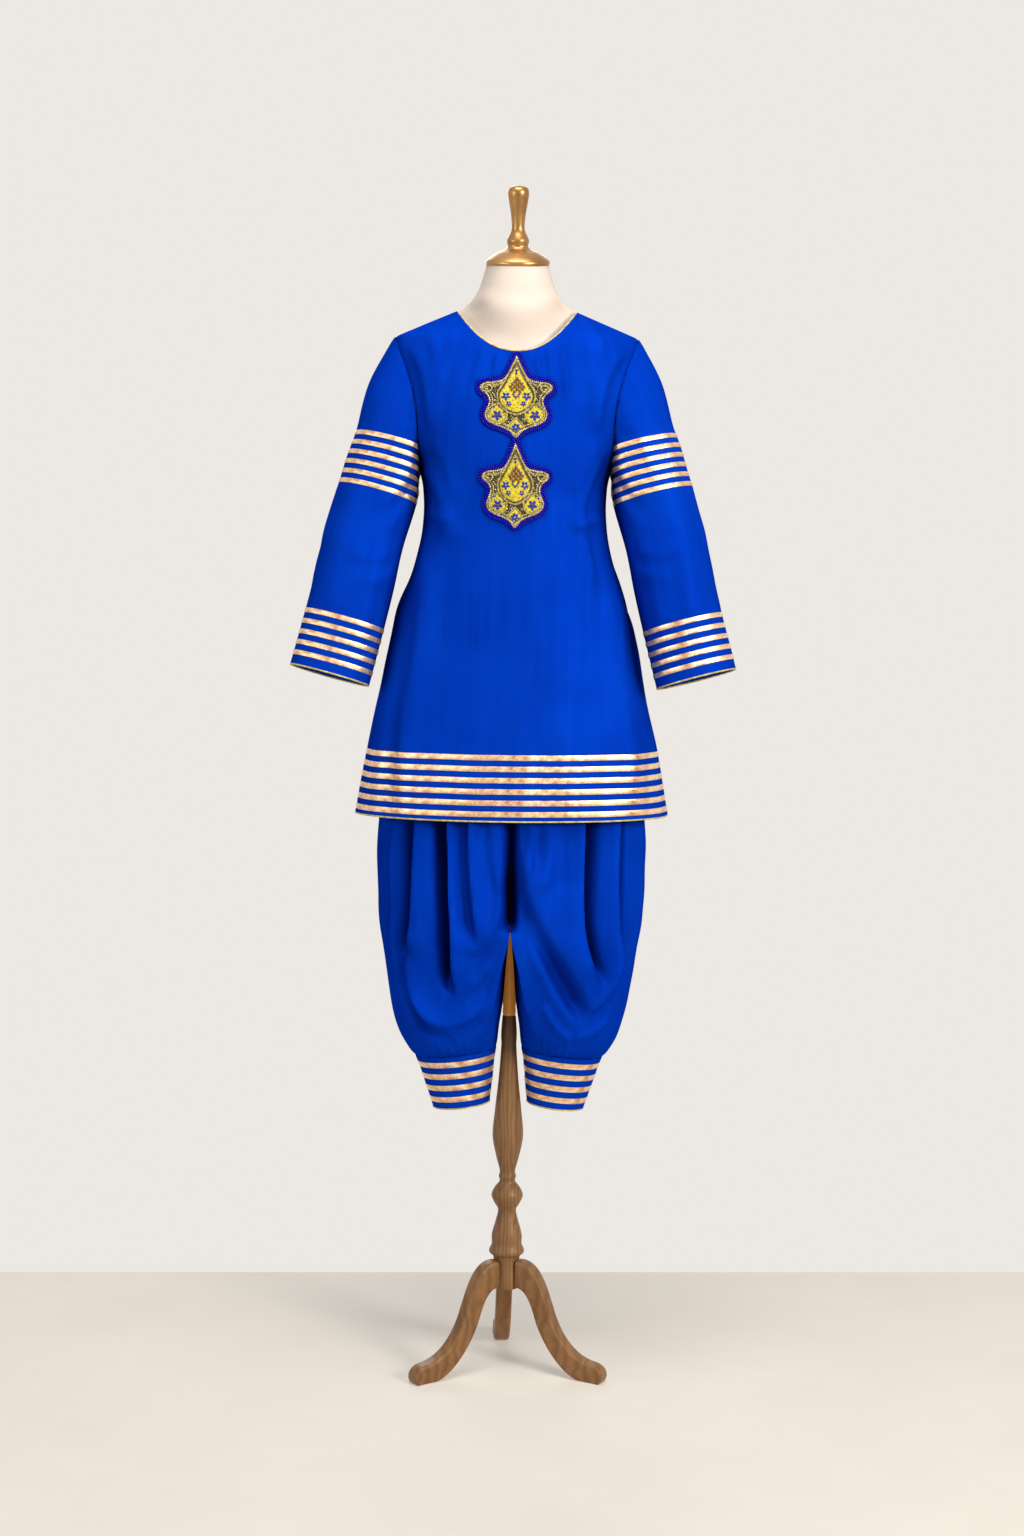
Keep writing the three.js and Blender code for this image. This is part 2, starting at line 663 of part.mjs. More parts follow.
function buildKurta(group) {
  const sheet = new Sheet();
  const front = panelGrid(sheet, 'front');
  const back = panelGrid(sheet, 'back');
  sheet.addPanel('kurta_front', gridCells(front, false));
  sheet.addPanel('kurta_back', gridCells(back, true));
  const sleeves = {};
  for (const [name, sign] of [['left', 1], ['right', -1]]) {
    sleeves[name] = sleeveGrid(sheet, front, back, sign);
    sheet.addPanel(`sleeve_${name}`, gridCells(sleeves[name], sign < 0));
  }
  sheet.findNormals();
  for (const name of sheet.panels.keys()) group.add(clothMesh(sheet, name));

  // hem ribbons and piping run round front and back
  const ringOf = (row) => [...front[row].slice(0, -1), ...[...back[row]].reverse().slice(0, -1)];
  const hemLines = linesBetween(ringOf(1), ringOf(0), false);
  const height = (position) => position.z;
  for (const mesh of ribbonMeshes('hem_ribbon', hemLines, height, HEM_RIBBONS, -1)) group.add(mesh);
  const down = point(0, 0, -1);
  group.add(pipingMesh('hem_piping', ringOf(0).map((vertex) => ({ vertex, off: down }))));

  // neck piping
  const last = front.length - 1;
  const quarter = HALF_COLUMNS / 4;
  const neck = [];
  for (let c = quarter; c < HALF_COLUMNS - quarter; c += 1) {
    const inside = c === quarter ? front[last][c - 1] : front[last - 1][c];
    neck.push({ vertex: front[last][c], inside: inside.position });
  }
  for (let c = HALF_COLUMNS - quarter; c > quarter; c -= 1) {
    const inside = c === HALF_COLUMNS - quarter ? back[last][c + 1] : back[last - 1][c];
    neck.push({ vertex: back[last][c], inside: inside.position });
  }
  const stations = neck.map(({ vertex, inside }, i) => {
    const after = neck[(i + 1) % neck.length].vertex.position;
    const before = neck[(i + neck.length - 1) % neck.length].vertex.position;
    return { vertex, off: wayOff(vertex, inside, after.clone().sub(before)) };
  });
  group.add(pipingMesh('neck_piping', stations));

  for (const [name, sign] of [['left', 1], ['right', -1]]) {
    const grid = sleeves[name];
    const upperLines = linesBetween(grid[2], grid[3], true);
    const cuffLines = linesBetween(grid[grid.length - 2], grid[grid.length - 1], true);
    const upper = ribbonMeshes(`sleeve_${name}_ribbon`, upperLines, alongSleeve, UPPER_RIBBONS, 1);
    const cuff = ribbonMeshes(`cuff_${name}_ribbon`, cuffLines, alongSleeve, CUFF_RIBBONS, 1);
    for (const mesh of [...upper, ...cuff]) group.add(mesh);
    const off = point(sign * SLEEVE_AXIS.x, SLEEVE_AXIS.y, SLEEVE_AXIS.z);
    const edge = grid[grid.length - 1].slice(0, -1);
    group.add(pipingMesh(`cuff_${name}_piping`, edge.map((vertex) => ({ vertex, off }))));
  }
}

// ---- patches ----------------------------------------------------------------------------
function frontNormal(x, z) {
  const step = 1;
  const across = bodyPoint(x + step, z, 'front').sub(bodyPoint(x - step, z, 'front'));
  const upward = bodyPoint(x, z + step, 'front').sub(bodyPoint(x, z - step, 'front'));
  return across.cross(upward).normalize();
}

function buildPatches(group) {
  for (const patch of PATCHES) {
    const grid = PATCH_OUTLINE.map(({ drop, half }) => {
      const z = patch.top - drop * patch.dropScale;
      const row = [];
      for (let i = 0; i <= PATCH_COLUMNS; i += 1) {
        const x = half * patch.widthScale * ((2 * i) / PATCH_COLUMNS - 1);
        row.push({ position: bodyPoint(x, z, 'front'), normal: frontNormal(x, z) });
      }
      return row;
    });
    const cells = gridCells(grid, false);
    const triangles = wallTriangles(cells, PATCH_LIFT + PATCH_WALL, PATCH_LIFT, false);
    group.add(makeMesh(patch.name, triangles, 'embroidery'));
  }
}

// ---- trousers ---------------------------------------------------------------------------
function pleatOffset(row, angle) {
  const share = Math.abs(angle) / (Math.PI / 2);
  const weight = Math.min(1, PLEATS.rise * Math.abs(Math.sin(angle)));
  return -row.pleat * weight * Math.cos(2 * Math.PI * PLEATS.count * (1 - share));
}

// A point of a leg's section: columns run from the centre front round the side to the back.
function legPoint(row, column) {
  const middle = (row.outer + row.inner) / 2;
  const reach = (row.outer - row.inner) / 2;
  let open;
  let turn;
  if (column <= LEG_COLUMNS) {
    const share = column / LEG_COLUMNS;
    const angle = Math.PI * (share - 0.5);
    const pleat = pleatOffset(row, angle);
    const x = row.inner + (row.outer - row.inner) * Math.cos(angle);
    open = point(x + pleat * Math.cos(angle), (row.depth + pleat) * Math.sin(angle), 0);
    turn = THREE.MathUtils.degToRad(LEG_TURN.outer * (share - 0.5));
  } else {
    const share = (column - LEG_COLUMNS) / LEG_INNER_COLUMNS;
    const pleat = pleatOffset(row, Math.PI / 2);
    open = point(row.inner, (row.depth + pleat) * (1 - 2 * share), 0);
    turn = THREE.MathUtils.degToRad(LEG_TURN.outer / 2 + LEG_TURN.inner * share);
  }
  const oval = point(middle + reach * Math.cos(turn), row.depth * Math.sin(turn), 0);
  const spot = mix(open, oval, row.oval);
  if (row.z <= CROTCH_Z) {
    spot.x = Math.max(spot.x, POLE_DENT.reach - POLE_DENT.slope * Math.abs(spot.y));
  }
  spot.z = row.z + row.tilt * (LEG_CUFF.topX - spot.x);
  return spot;
}

function buildLeg(group, name, sign) {
  const sheet = new Sheet();
  const ring = LEG_COLUMNS + LEG_INNER_COLUMNS;
  const grid = LEG.map((row) => {
    const line = [];
    for (let c = 0; c < ring; c += 1) {
      const spot = legPoint(row, c);
      line.push(sheet.vertex(point(sign * spot.x, spot.y, spot.z)));
    }
    return [...line, line[0]];
  });
  const crotch = LEG.findIndex((row) => row.z === CROTCH_Z);
  const upper = grid.slice(0, crotch + 1).map((row) => row.slice(0, LEG_COLUMNS + 1));
  const lower = grid.slice(crotch);
  const cells = [...gridCells(upper, sign < 0), ...gridCells(lower, sign < 0)];
  sheet.addPanel(`trouser_leg_${name}`, cells);
  sheet.findNormals();
  group.add(clothMesh(sheet, `trouser_leg_${name}`));
}

function buildLegCuff(group, name, sign) {
  const top = point(sign * LEG_CUFF.topX, 0, LEG_CUFF.topZ);
  const bottom = point(sign * LEG_CUFF.bottomX, 0, LEG_CUFF.bottomZ);
  const axis = bottom.clone().sub(top);
  const length = axis.length();
  axis.normalize();
  const side = point(-axis.z, 0, axis.x);
  const front = point(0, -1, 0);
  const sheet = new Sheet();
  const ringAt = (along, width, depth) => {
    const centre = top.clone().addScaledVector(axis, along);
    const ring = [];
    for (let i = 0; i < LEG_CUFF_COLUMNS; i += 1) {
      const turn = (2 * Math.PI * i) / LEG_CUFF_COLUMNS;
      const spot = centre.clone().addScaledVector(side, -width * Math.cos(turn));
      ring.push(sheet.vertex(spot.addScaledVector(front, depth * Math.sin(turn))));
    }
    return [...ring, ring[0]];
  };
  const grid = [
    ringAt(SEAM_GAP, LEG_CUFF.topWidth, LEG_CUFF_DEPTH.top),
    ringAt(length, LEG_CUFF.bottomWidth, LEG_CUFF_DEPTH.bottom),
  ];
  sheet.addPanel(`leg_cuff_${name}`, gridCells(grid, false));
  sheet.findNormals();
  group.add(clothMesh(sheet, `leg_cuff_${name}`));
  const heightOf = (position) => position.clone().sub(top).dot(axis);
  const lines = linesBetween(grid[0], grid[1], true);
  const ribbons = ribbonMeshes(`leg_${name}_ribbon`, lines, heightOf, LEG_RIBBONS, 1);
  for (const mesh of ribbons) group.add(mesh);
  const edge = grid[1].slice(0, -1);
  group.add(pipingMesh(`leg_${name}_piping`, edge.map((vertex) => ({ vertex, off: axis }))));
}

function buildWaistband(group) {
  const sheet = new Sheet();
  const spread = WAISTBAND.gap + CLOTH_WALL;
  const grid = [WAISTBAND.high, WAISTBAND.low].map((z) => {
    const ring = [];
    for (let i = 0; i < 2 * HALF_COLUMNS; i += 1) {
      const turn = (Math.PI * i) / HALF_COLUMNS;
      const x = (WAIST.width + spread) * Math.cos(turn);
      ring.push(sheet.vertex(point(x, (WAIST.depth + spread) * Math.sin(turn), z)));
    }
    return [...ring, ring[0]];
  });
  sheet.addPanel('waistband', gridCells(grid, false));
  sheet.findNormals();
  group.add(clothMesh(sheet, 'waistband'));
}

// ---- dress form and stand ---------------------------------------------------------------
function torsoRings() {
  const rings = [];
  const columns = 2 * HALF_COLUMNS;
  const ring = (z, width, front, back, tilt, slope, rootRadius) => {
    const line = [];
    for (let i = 0; i < columns; i += 1) {
      const turn = (2 * Math.PI * i) / columns;
      const x = width * Math.cos(turn);
      const root = Math.sqrt(Math.max(rootRadius * rootRadius - x * x, 0));
      const round = (turn > Math.PI ? front : back) * Math.abs(Math.sin(turn));
      const depth = Math.max(Math.min(round, slope * (width - Math.abs(x))), root);
      const y = turn > Math.PI ? -depth : depth;
      line.push(point(x, Math.abs(Math.sin(turn)) < 1e-6 ? 0 : y, z + tilt * y));
    }
    rings.push(line);
  };
  for (const row of TORSO) ring(row.z, row.width, row.front, row.back, 0, NO_SLOPE, 0);
  for (let i = 0; i <= SHOULDER.steps; i += 1) {
    const share = lerp(SHOULDER.start, SHOULDER.end, i / SHOULDER.steps);
    const z = lerp(SHOULDER_TIP.z, SHOULDER_NECK.z, share);
    const front = tableAt(BODY, 'front', z) * SHOULDER.fullness;
    const back = tableAt(BODY, 'back', z) * SHOULDER.fullness;
    ring(z - SHOULDER.drop, bodyWidth(z), front, back, 0, SHOULDER.slope, NECK_ROOT_RADIUS);
  }
  for (const row of NECK) ring(row.z, row.width, row.depth, row.depth, row.tilt, NO_SLOPE, 0);
  return rings;
}

function buildForm(group) {
  const rings = torsoRings();
  const triangles = [];
  for (let r = 0; r + 1 < rings.length; r += 1) {
    rings[r].forEach((_, i) => {
      const k = (i + 1) % rings[r].length;
      triangles.push([rings[r][i], rings[r][k], rings[r + 1][k]]);
      triangles.push([rings[r][i], rings[r + 1][k], rings[r + 1][i]]);
    });
  }
  const cap = (ring, up) => {
    for (let i = 1; i + 1 < ring.length; i += 1) {
      triangles.push(up ? [ring[0], ring[i], ring[i + 1]] : [ring[0], ring[i + 1], ring[i]]);
    }
  };
  cap(rings[0], false);
  cap(rings[rings.length - 1], true);
  group.add(makeMesh('form_torso', triangles, 'form'));
}

// A turned piece on the z axis from a profile of radii and heights.
function turned(name, profile, segments, materialName) {
  const last = profile.length - 1;
  const outline = [new THREE.Vector2(0, profile[0].z)];
  for (const { radius, z } of profile) outline.push(new THREE.Vector2(radius, z));
  outline.push(new THREE.Vector2(0, profile[last].z));
  const geometry = new THREE.LatheGeometry(outline, segments);
  geometry.rotateX(Math.PI / 2);
  geometry.deleteAttribute('normal');
  geometry.deleteAttribute('uv');
  const mesh = new THREE.Mesh(geometry, material(materialName));
  mesh.name = name;
  return mesh;
}

function buildStand(group) {
  const profile = CAP_PROFILE.map(({ radius, up }) => ({ radius, z: up }));
  const cap = turned('neck_cap', profile, ROUND_SEGMENTS, 'cap');
  cap.position.set(0, 0, NECK[NECK.length - 1].z);
  cap.rotation.x = NECK_TILT;
  group.add(cap);

  const pole = [
    { radius: POLE.radius, z: POLE.bottom },
    { radius: POLE.radius, z: POLE.top - SEAM_GAP },
  ];
  group.add(turned('pole', pole, ROUND_SEGMENTS, 'pole'));
  group.add(turned('column', COLUMN_PROFILE, ROUND_SEGMENTS, 'wood'));

  // each leg is a sawn board: an S curve from the hub to a flat-bottomed foot
  const outline = new THREE.Shape();
  outline.moveTo(...STAND_LEG_START);
  for (const curve of STAND_LEG_TOP) outline.bezierCurveTo(...curve);
  outline.lineTo(...STAND_LEG_HEEL);
  for (const curve of STAND_LEG_UNDER) outline.bezierCurveTo(...curve);
  outline.closePath();
  for (const [name, heading] of Object.entries(STAND_LEG_HEADINGS)) {
    const geometry = new THREE.ExtrudeGeometry(outline, {
      depth: STAND_LEGS.width,
      bevelEnabled: false,
      curveSegments: STAND_LEGS.curveSegments,
    });
    geometry.translate(0, 0, -STAND_LEGS.width / 2);
    geometry.rotateX(Math.PI / 2);
    const leg = new THREE.Mesh(geometry, material('wood'));
    leg.name = `stand_leg_${name}`;
    leg.rotation.z = THREE.MathUtils.degToRad(heading + STAND_LEGS.yaw);
    group.add(leg);
  }
}

// ---- the whole object -------------------------------------------------------------------
const group = new THREE.Group();
group.position.y = CENTRE_SHIFT;
buildKurta(group);
buildPatches(group);
buildWaistband(group);
for (const [name, sign] of [['left', 1], ['right', -1]]) {
  buildLeg(group, name, sign);
  buildLegCuff(group, name, sign);
}
buildForm(group);
buildStand(group);

export default group;
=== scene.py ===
"""Looks of a child's kurta with dhoti trousers on a dress form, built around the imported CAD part."""
import math

import bpy
import numpy as np
from mathutils import Matrix, Vector


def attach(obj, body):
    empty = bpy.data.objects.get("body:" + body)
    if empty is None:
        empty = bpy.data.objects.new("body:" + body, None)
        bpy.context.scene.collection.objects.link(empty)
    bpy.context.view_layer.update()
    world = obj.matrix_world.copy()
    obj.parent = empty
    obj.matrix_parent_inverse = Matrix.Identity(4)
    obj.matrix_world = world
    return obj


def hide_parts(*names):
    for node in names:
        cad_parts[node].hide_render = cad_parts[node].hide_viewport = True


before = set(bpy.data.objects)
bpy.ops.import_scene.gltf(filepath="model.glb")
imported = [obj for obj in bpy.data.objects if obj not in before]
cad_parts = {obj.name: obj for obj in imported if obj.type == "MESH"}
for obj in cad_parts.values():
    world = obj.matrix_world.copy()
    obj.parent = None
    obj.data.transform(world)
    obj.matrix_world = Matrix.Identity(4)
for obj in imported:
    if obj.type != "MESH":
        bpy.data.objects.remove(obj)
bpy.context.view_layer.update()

MM = 0.001
CENTRE_SHIFT = (0.0, -13.0, 0.0)
CLOTH_WALL = 1.0
SIDES = ("left", "right")

# ---- tables of the garment, in millimetres, as the CAD has them --------------------------
BODY = {
    "z": (696, 777, 848, 907, 951, 1009, 1040, 1076, 1108, 1140, 1161, 1203, 1248, 1271, 1290, 1303),
    "width": (191.5, 176.8, 159.3, 145.7, 135, 118, 112.2, 110.6, 115.2, 133, 143, 151, 150, 147.8, 147.8,
              147.8),
    "front": (108, 103, 97, 93, 90, 86, 84.5, 84, 83.5, 82.5, 81, 76.5, 64, 51, 36, 22),
    "back": (109, 104, 99, 95, 91, 86, 84, 83, 83, 85, 86, 83, 75, 66, 57, 46),
}
SHOULDER_TIP = (147.8, 1271.0)
SHOULDER_NECK = (72.9, 1303.0)
NECK_FRONT_Z, NECK_BACK_Z = 1250.0, 1290.0
UNDERARM_Z, HEM_Z, FOLD_TOP_Z = 1108.0, 696.0, 1050.0
ARMHOLE = np.array(
    [(115.2, 1108), (116, 1122), (117.5, 1144), (118, 1165), (120.5, 1187), (125, 1208), (132, 1230),
     (140.5, 1252), (147.8, 1271)]
)
# The body has 16 columns from side to side, of which 4 are a shoulder. The mesh has 9 steps for each.
HALF_COLUMNS, QUARTER, STEPS = 16, 4, 9

SLEEVE_OUT, SLEEVE_FORWARD = math.radians(15), math.radians(7.5)
SLEEVE_ORIGIN = np.array((166.0, -14.0, 1080.0))
SLEEVE_AXIS = np.array(
    (math.sin(SLEEVE_OUT) * math.cos(SLEEVE_FORWARD), -math.sin(SLEEVE_FORWARD),
     -math.cos(SLEEVE_OUT) * math.cos(SLEEVE_FORWARD))
)
SLEEVE_SIDE = np.array((math.cos(SLEEVE_OUT), 0.0, math.sin(SLEEVE_OUT)))
SLEEVE_FRONT = np.cross(SLEEVE_AXIS, SLEEVE_SIDE)
SLEEVE_FRONT /= np.linalg.norm(SLEEVE_FRONT)
SLEEVE = {
    "along": (-72, 3, 55, 105, 150, 224),
    "shift": (0, 0.5, 1.5, -0.5, -2.3, -3.1),
    "width": (46, 48.3, 48.2, 49.2, 48.8, 49.3),
    "depth": (45, 41, 39, 38, 37, 36),
}
CAP_BULGE = 7.0
# The distance down the sleeve of the armhole, the cap, the cap's end and the rings below it.
SLEEVE_KNOTS = (0, 30, 60, 135, 187, 237, 282, 356)

LEG = {
    "z": (400, 410, 430, 463, 512, 562, 655, 735, 840, 958),
    "outer": (115, 122.5, 134.5, 145.5, 154.5, 162, 166, 157, 131, 100.2),
    "inner": (16, 14.5, 12, 7.5, 4, 0.3, 0.3, 0.3, 0.3, 0.3),
    "depth": (43, 58, 74, 86, 94, 98, 97, 93, 86, 67.2),
    "oval": (1, 1, 0.8, 0.5, 0.25, 0, 0, 0, 0, 0),
    "tilt": (0.115, 0.115, 0.08, 0.03, 0, 0, 0, 0, 0, 0),
}
CROTCH_Z = 562.0
CUFF_TOP, CUFF_BOTTOM = np.array((65.5, 0, 400.0)), np.array((58.0, 0, 334.5))
CUFF_WIDTHS, CUFF_DEPTHS, CUFF_RADIUS = (49.5, 35.5), (43.0, 34.0), 42
CASING_TOP, CASING_BOTTOM, CASING_WIDTH, CASING_DEPTH = 984, 958.3, 100.0, 67.0

# How fine the meshes are, in rows from top or bottom and in columns around.
HEM_ROWS, BODICE_ROWS, YOKE_ROWS, HEM_TOP_Z = 29, 83, 62, 782
SLEEVE_COLUMNS, CAP_ROWS, SLEEVE_ROWS = 96, 26, 108
LEG_OUTER_MESH, LEG_INNER_MESH, LEG_UPPER_ROWS, LEG_LOWER_ROWS = 193, 29, 84, 60
CUFF_COLUMNS, CUFF_ROWS, CASING_COLUMNS, CASING_ROWS = 120, 30, 220, 18
FORM_COLUMNS, TORSO_ROWS, SHOULDER_ROWS, FORM_PASSES = 160, 46, 90, 60

# Where each piece's low waves start: the seeds of their random numbers.
BODY_SEEDS = {"front": (3, 5), "back": (4, 6)}
SLEEVE_SEEDS, LEG_SEEDS = {"left": 11, "right": 12}, {"left": 21, "right": 22}
CUFF_SEEDS, PATCH_SEED = {"left": 31, "right": 32}, 17

# Each group of ribbons: how many, where the first starts, from one to the next, and how high.
UPPER_RIBBONS = {"count": 6, "first": -67.5, "pitch": 12.1, "height": 5.6}
CUFF_RIBBONS = {"count": 5, "first": 154.8, "pitch": 13.1, "height": 5.8}
HEM_RIBBONS = {"count": 6, "first": 774, "pitch": -13.4, "height": -6.4}
LEG_RIBBONS = {"count": 4, "first": 7, "pitch": 14.8, "height": 6.8}


# ---- small helpers -----------------------------------------------------------------------
def spline(knots, values, at):
    """A smooth curve through values at uneven knots, along the first axis."""
    knots, values, at = np.asarray(knots, float), np.asarray(values, float), np.asarray(at, float)
    last = len(knots) - 1
    i = np.clip(np.searchsorted(knots, at, side="right") - 1, 0, last - 1)
    before, after = np.maximum(i - 1, 0), np.minimum(i + 2, last)
    column = at.shape + (1,) * (values.ndim - 1)
    span = (knots[i + 1] - knots[i]).reshape(column)
    t = np.clip((at - knots[i]).reshape(column) / span, 0, 1)
    low, high = values[i], values[i + 1]
    rise_low = (high - values[before]) / (knots[i + 1] - knots[before]).reshape(column) * span
    rise_high = (values[after] - low) / (knots[after] - knots[i]).reshape(column) * span
    t2, t3 = t * t, t * t * t
    start = (2 * t3 - 3 * t2 + 1) * low + (t3 - 2 * t2 + t) * rise_low
    return start + (3 * t2 - 2 * t3) * high + (t3 - t2) * rise_high


def table_at(table, name, at):
    key = "along" if "along" in table else "z"
    return spline(table[key], table[name], at)


def smooth(low, high, value):
    t = np.clip((value - low) / (high - low), 0, 1)
    return t * t * (3 - 2 * t)


def bell(distance, width):
    return np.exp(-((distance / width) ** 2))


def two_runs(start, middle, end, first, second):
    """Even steps from start to middle and from there to end, with so many places in each."""
    return np.concatenate([np.linspace(start, middle, first), np.linspace(middle, end, second)[1:]])


def unit(vectors):
    return vectors / np.maximum(np.linalg.norm(vectors, axis=-1, keepdims=True), 1e-9)


def lerp(a, b, share):
    return a + (b - a) * share


def stack(x, y, z):
    return np.stack(np.broadcast_arrays(x, y, z), -1).astype(float)


def full_turn(count):
    return np.linspace(0, 2 * np.pi, count, endpoint=False)


def reach_along(path):
    """The distance from a path's start to each of its points."""
    return np.concatenate([[0], np.cumsum(np.linalg.norm(np.diff(path, axis=0), axis=1))])


def mirrored(points, side):
    return points * np.array((1.0 if side == "left" else -1.0, 1.0, 1.0))


def grid_normals(grid, closed):
    """Normals of a grid of points that face away from the middle of each row."""
    if closed:
        across = np.roll(grid, -1, 1) - np.roll(grid, 1, 1)
    else:
        across = np.gradient(grid, axis=1)
    normals = unit(np.cross(across, np.gradient(grid, axis=0)))
    outward = grid - grid.mean(1, keepdims=True)
    return normals if (normals * outward).sum() > 0 else -normals


def grid_faces(rows, columns, closed, looped=False):
    """Faces of a grid whose rows are closed rings, and whose last row meets the first where it is looped."""
    index = np.arange(rows * columns).reshape(rows, columns)
    if looped:
        index = np.concatenate([index, index[:1]])
    if closed:
        index = np.concatenate([index, index[:, :1]], 1)
    corners = (index[:-1, :-1], index[:-1, 1:], index[1:, 1:], index[1:, :-1])
    return np.stack(corners, -1).reshape(-1, 4)


def end_faces(rows, columns, flip=False):
    """The two faces that close a grid of rings."""
    ends = [list(range(columns))[::-1], list(range((rows - 1) * columns, rows * columns))]
    return [end[::-1] for end in ends] if flip else ends


# ---- folds -------------------------------------------------------------------------------
def dense_path(path, count=26):
    path = np.asarray(path, float)
    knots = reach_along(path)
    return spline(knots, path, np.linspace(0, knots[-1], count))


def fold(u, v, path, height, left, right, tail=0.22, undercut=0.0):
    """Height of one crease along a path. It is as wide as left and right say on its two sides.
    An undercut adds a valley beyond its sharper side, as where a pleat lies over the cloth."""
    points = dense_path(path)
    nearest = np.full(u.shape, np.inf)
    signed, along = np.zeros(u.shape), np.zeros(u.shape)
    for i, (start, end) in enumerate(zip(points[:-1], points[1:])):
        du, dv = end - start
        t = np.clip(((u - start[0]) * du + (v - start[1]) * dv) / (du * du + dv * dv), 0, 1)
        eu, ev = u - start[0] - t * du, v - start[1] - t * dv
        away = np.hypot(eu, ev)
        closer = away < nearest
        nearest = np.where(closer, away, nearest)
        signed = np.where(closer, np.sign(du * ev - dv * eu) * away, signed)
        along = np.where(closer, (i + t) / (len(points) - 1), along)
    spread = np.where(signed > 0, left, right)
    taper = smooth(0, tail, along) * smooth(0, tail, 1 - along)
    profile = bell(signed, spread)
    sharp = min(left, right)
    beyond = signed if left <= right else -signed
    profile -= undercut * bell(beyond - 2.6 * sharp, 1.7 * sharp)
    return height * taper * profile


def ripples(u, v, seed, count, shortest, longest, height):
    """Low uneven waves that run in many directions."""
    random = np.random.default_rng(seed)
    total = np.zeros(u.shape)
    for _ in range(count):
        length = random.uniform(shortest, longest)
        turn, phase = random.uniform(0, 2 * np.pi, 2)
        total += np.sin(2 * np.pi * (u * np.cos(turn) + v * np.sin(turn)) / length + phase)
    return height * total / math.sqrt(count)


# ---- meshes ------------------------------------------------------------------------------
def free_edges(faces):
    edges = np.concatenate([faces[:, [k, (k + 1) % 4]] for k in range(4)])
    big = int(faces.max()) + 1
    there, back = edges[:, 0] * big + edges[:, 1], edges[:, 1] * big + edges[:, 0]
    return edges[~np.isin(there, back)]


def walled(points, normals, faces, wall, uv):
    """A closed wall under a surface: the surface, its underside and the rims."""
    corners = points[faces]
    facing = np.cross(corners[:, 2] - corners[:, 0], corners[:, 3] - corners[:, 1])
    if (facing * normals[faces[:, 0]]).sum() < 0:
        faces = faces[:, ::-1]
    count = len(points)
    rims = free_edges(faces)
    rim_faces = np.stack([rims[:, 1], rims[:, 0], rims[:, 0] + count, rims[:, 1] + count], -1)
    both = np.concatenate([points, points - normals * wall])
    return both, np.concatenate([faces, faces[:, ::-1] + count, rim_faces]), np.concatenate([uv, uv])


def walled_grid(grid, normals, faces, wall, shift=0.0):
    uv = cloth_uv(grid).reshape(-1, 2) + shift
    return walled(grid.reshape(-1, 3), normals.reshape(-1, 3), faces, wall, uv)


def compact(points, faces, uv):
    """The same without the points that no face uses."""
    used = np.unique(faces)
    order = np.zeros(len(points), int)
    order[used] = np.arange(len(used))
    return points[used], order[faces], uv[used]


def tube(path, radius, sides=8, closed=False, twist=0.0, lobes=2, depth=0.0, up=(0, 0, 1)):
    """Points and faces of a round or lobed cord along a path."""
    path = np.asarray(path, float)
    if closed:
        ahead = np.roll(path, -1, 0) - np.roll(path, 1, 0)
    else:
        ahead = np.gradient(path, axis=0)
    ahead = unit(ahead)
    up = np.broadcast_to(np.asarray(up, float), path.shape)
    side = unit(np.cross(ahead, up))
    over = np.cross(side, ahead)
    reach, turn = reach_along(path)[:, None], full_turn(sides)[None, :]
    radius = np.broadcast_to(np.asarray(radius, float), (len(path),))[:, None]
    size = radius * (1 + depth * np.cos(lobes * turn + twist * reach))
    across, upward = (size * np.cos(turn))[..., None], (size * np.sin(turn))[..., None]
    ring = path[:, None] + side[:, None] * across + over[:, None] * upward
    faces = grid_faces(len(path), sides, True, closed).tolist()
    return ring.reshape(-1, 3), faces if closed else faces + end_faces(len(path), sides)


class Build:
    """Collects parts of one piece, each with its material, and makes the object."""

    def __init__(self, name):
        self.name, self.points, self.faces, self.marks, self.looks, self.uv = name, [], [], [], [], []

    def add(self, points, faces, look, uv=None):
        start = sum(len(part) for part in self.points)
        faces = faces.tolist() if hasattr(faces, "tolist") else faces
        if look not in self.looks:
            self.looks.append(look)
        self.points.append(np.asarray(points, float))
        self.faces += [[corner + start for corner in face] for face in faces]
        self.marks += [self.looks.index(look)] * len(faces)
        self.uv.append(self.points[-1][:, [0, 2]] if uv is None else uv)
        return self

    def add_shell(self, shell, look):
        return self.add(*shell[:2], look, shell[2])

    def add_solid(self, grid, look, flip=False):
        """A grid of closed rings with its two ends."""
        rows, columns = grid.shape[:2]
        faces = grid_faces(rows, columns, True).tolist() + end_faces(rows, columns, flip)
        return self.add(grid.reshape(-1, 3), faces, look)

    def finish(self, slot, nodes=()):
        points = (np.concatenate(self.points) + CENTRE_SHIFT) * MM
        mesh = bpy.data.meshes.new(self.name)
        mesh.from_pydata(points.tolist(), [], self.faces)
        mesh.validate()
        for look in self.looks:
            mesh.materials.append(look)
        mesh.polygons.foreach_set("material_index", self.marks)
        mesh.polygons.foreach_set("use_smooth", [True] * len(mesh.polygons))
        layer = mesh.uv_layers.new(name="thread")
        corners = np.zeros(len(mesh.loops), np.int32)
        mesh.loops.foreach_get("vertex_index", corners)
        layer.data.foreach_set("uv", (np.concatenate(self.uv)[corners] * MM).astype(np.float32).ravel())
        mesh.set_sharp_from_angle(angle=math.radians(50))
        piece = bpy.data.objects.new(self.name, mesh)
        bpy.context.scene.collection.objects.link(piece)
        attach(piece, "root")
        if nodes:
            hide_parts(*nodes)
        return piece


# ---- materials ---------------------------------------------------------------------------
def srgb(red, green, blue):
    """A colour as it is seen, 0 to 255, as Blender wants it."""
    values = np.array((red, green, blue)) / 255
    linear = np.where(values < 0.04045, values / 12.92, ((values + 0.055) / 1.055) ** 2.4)
    return (*linear.tolist(), 1.0)


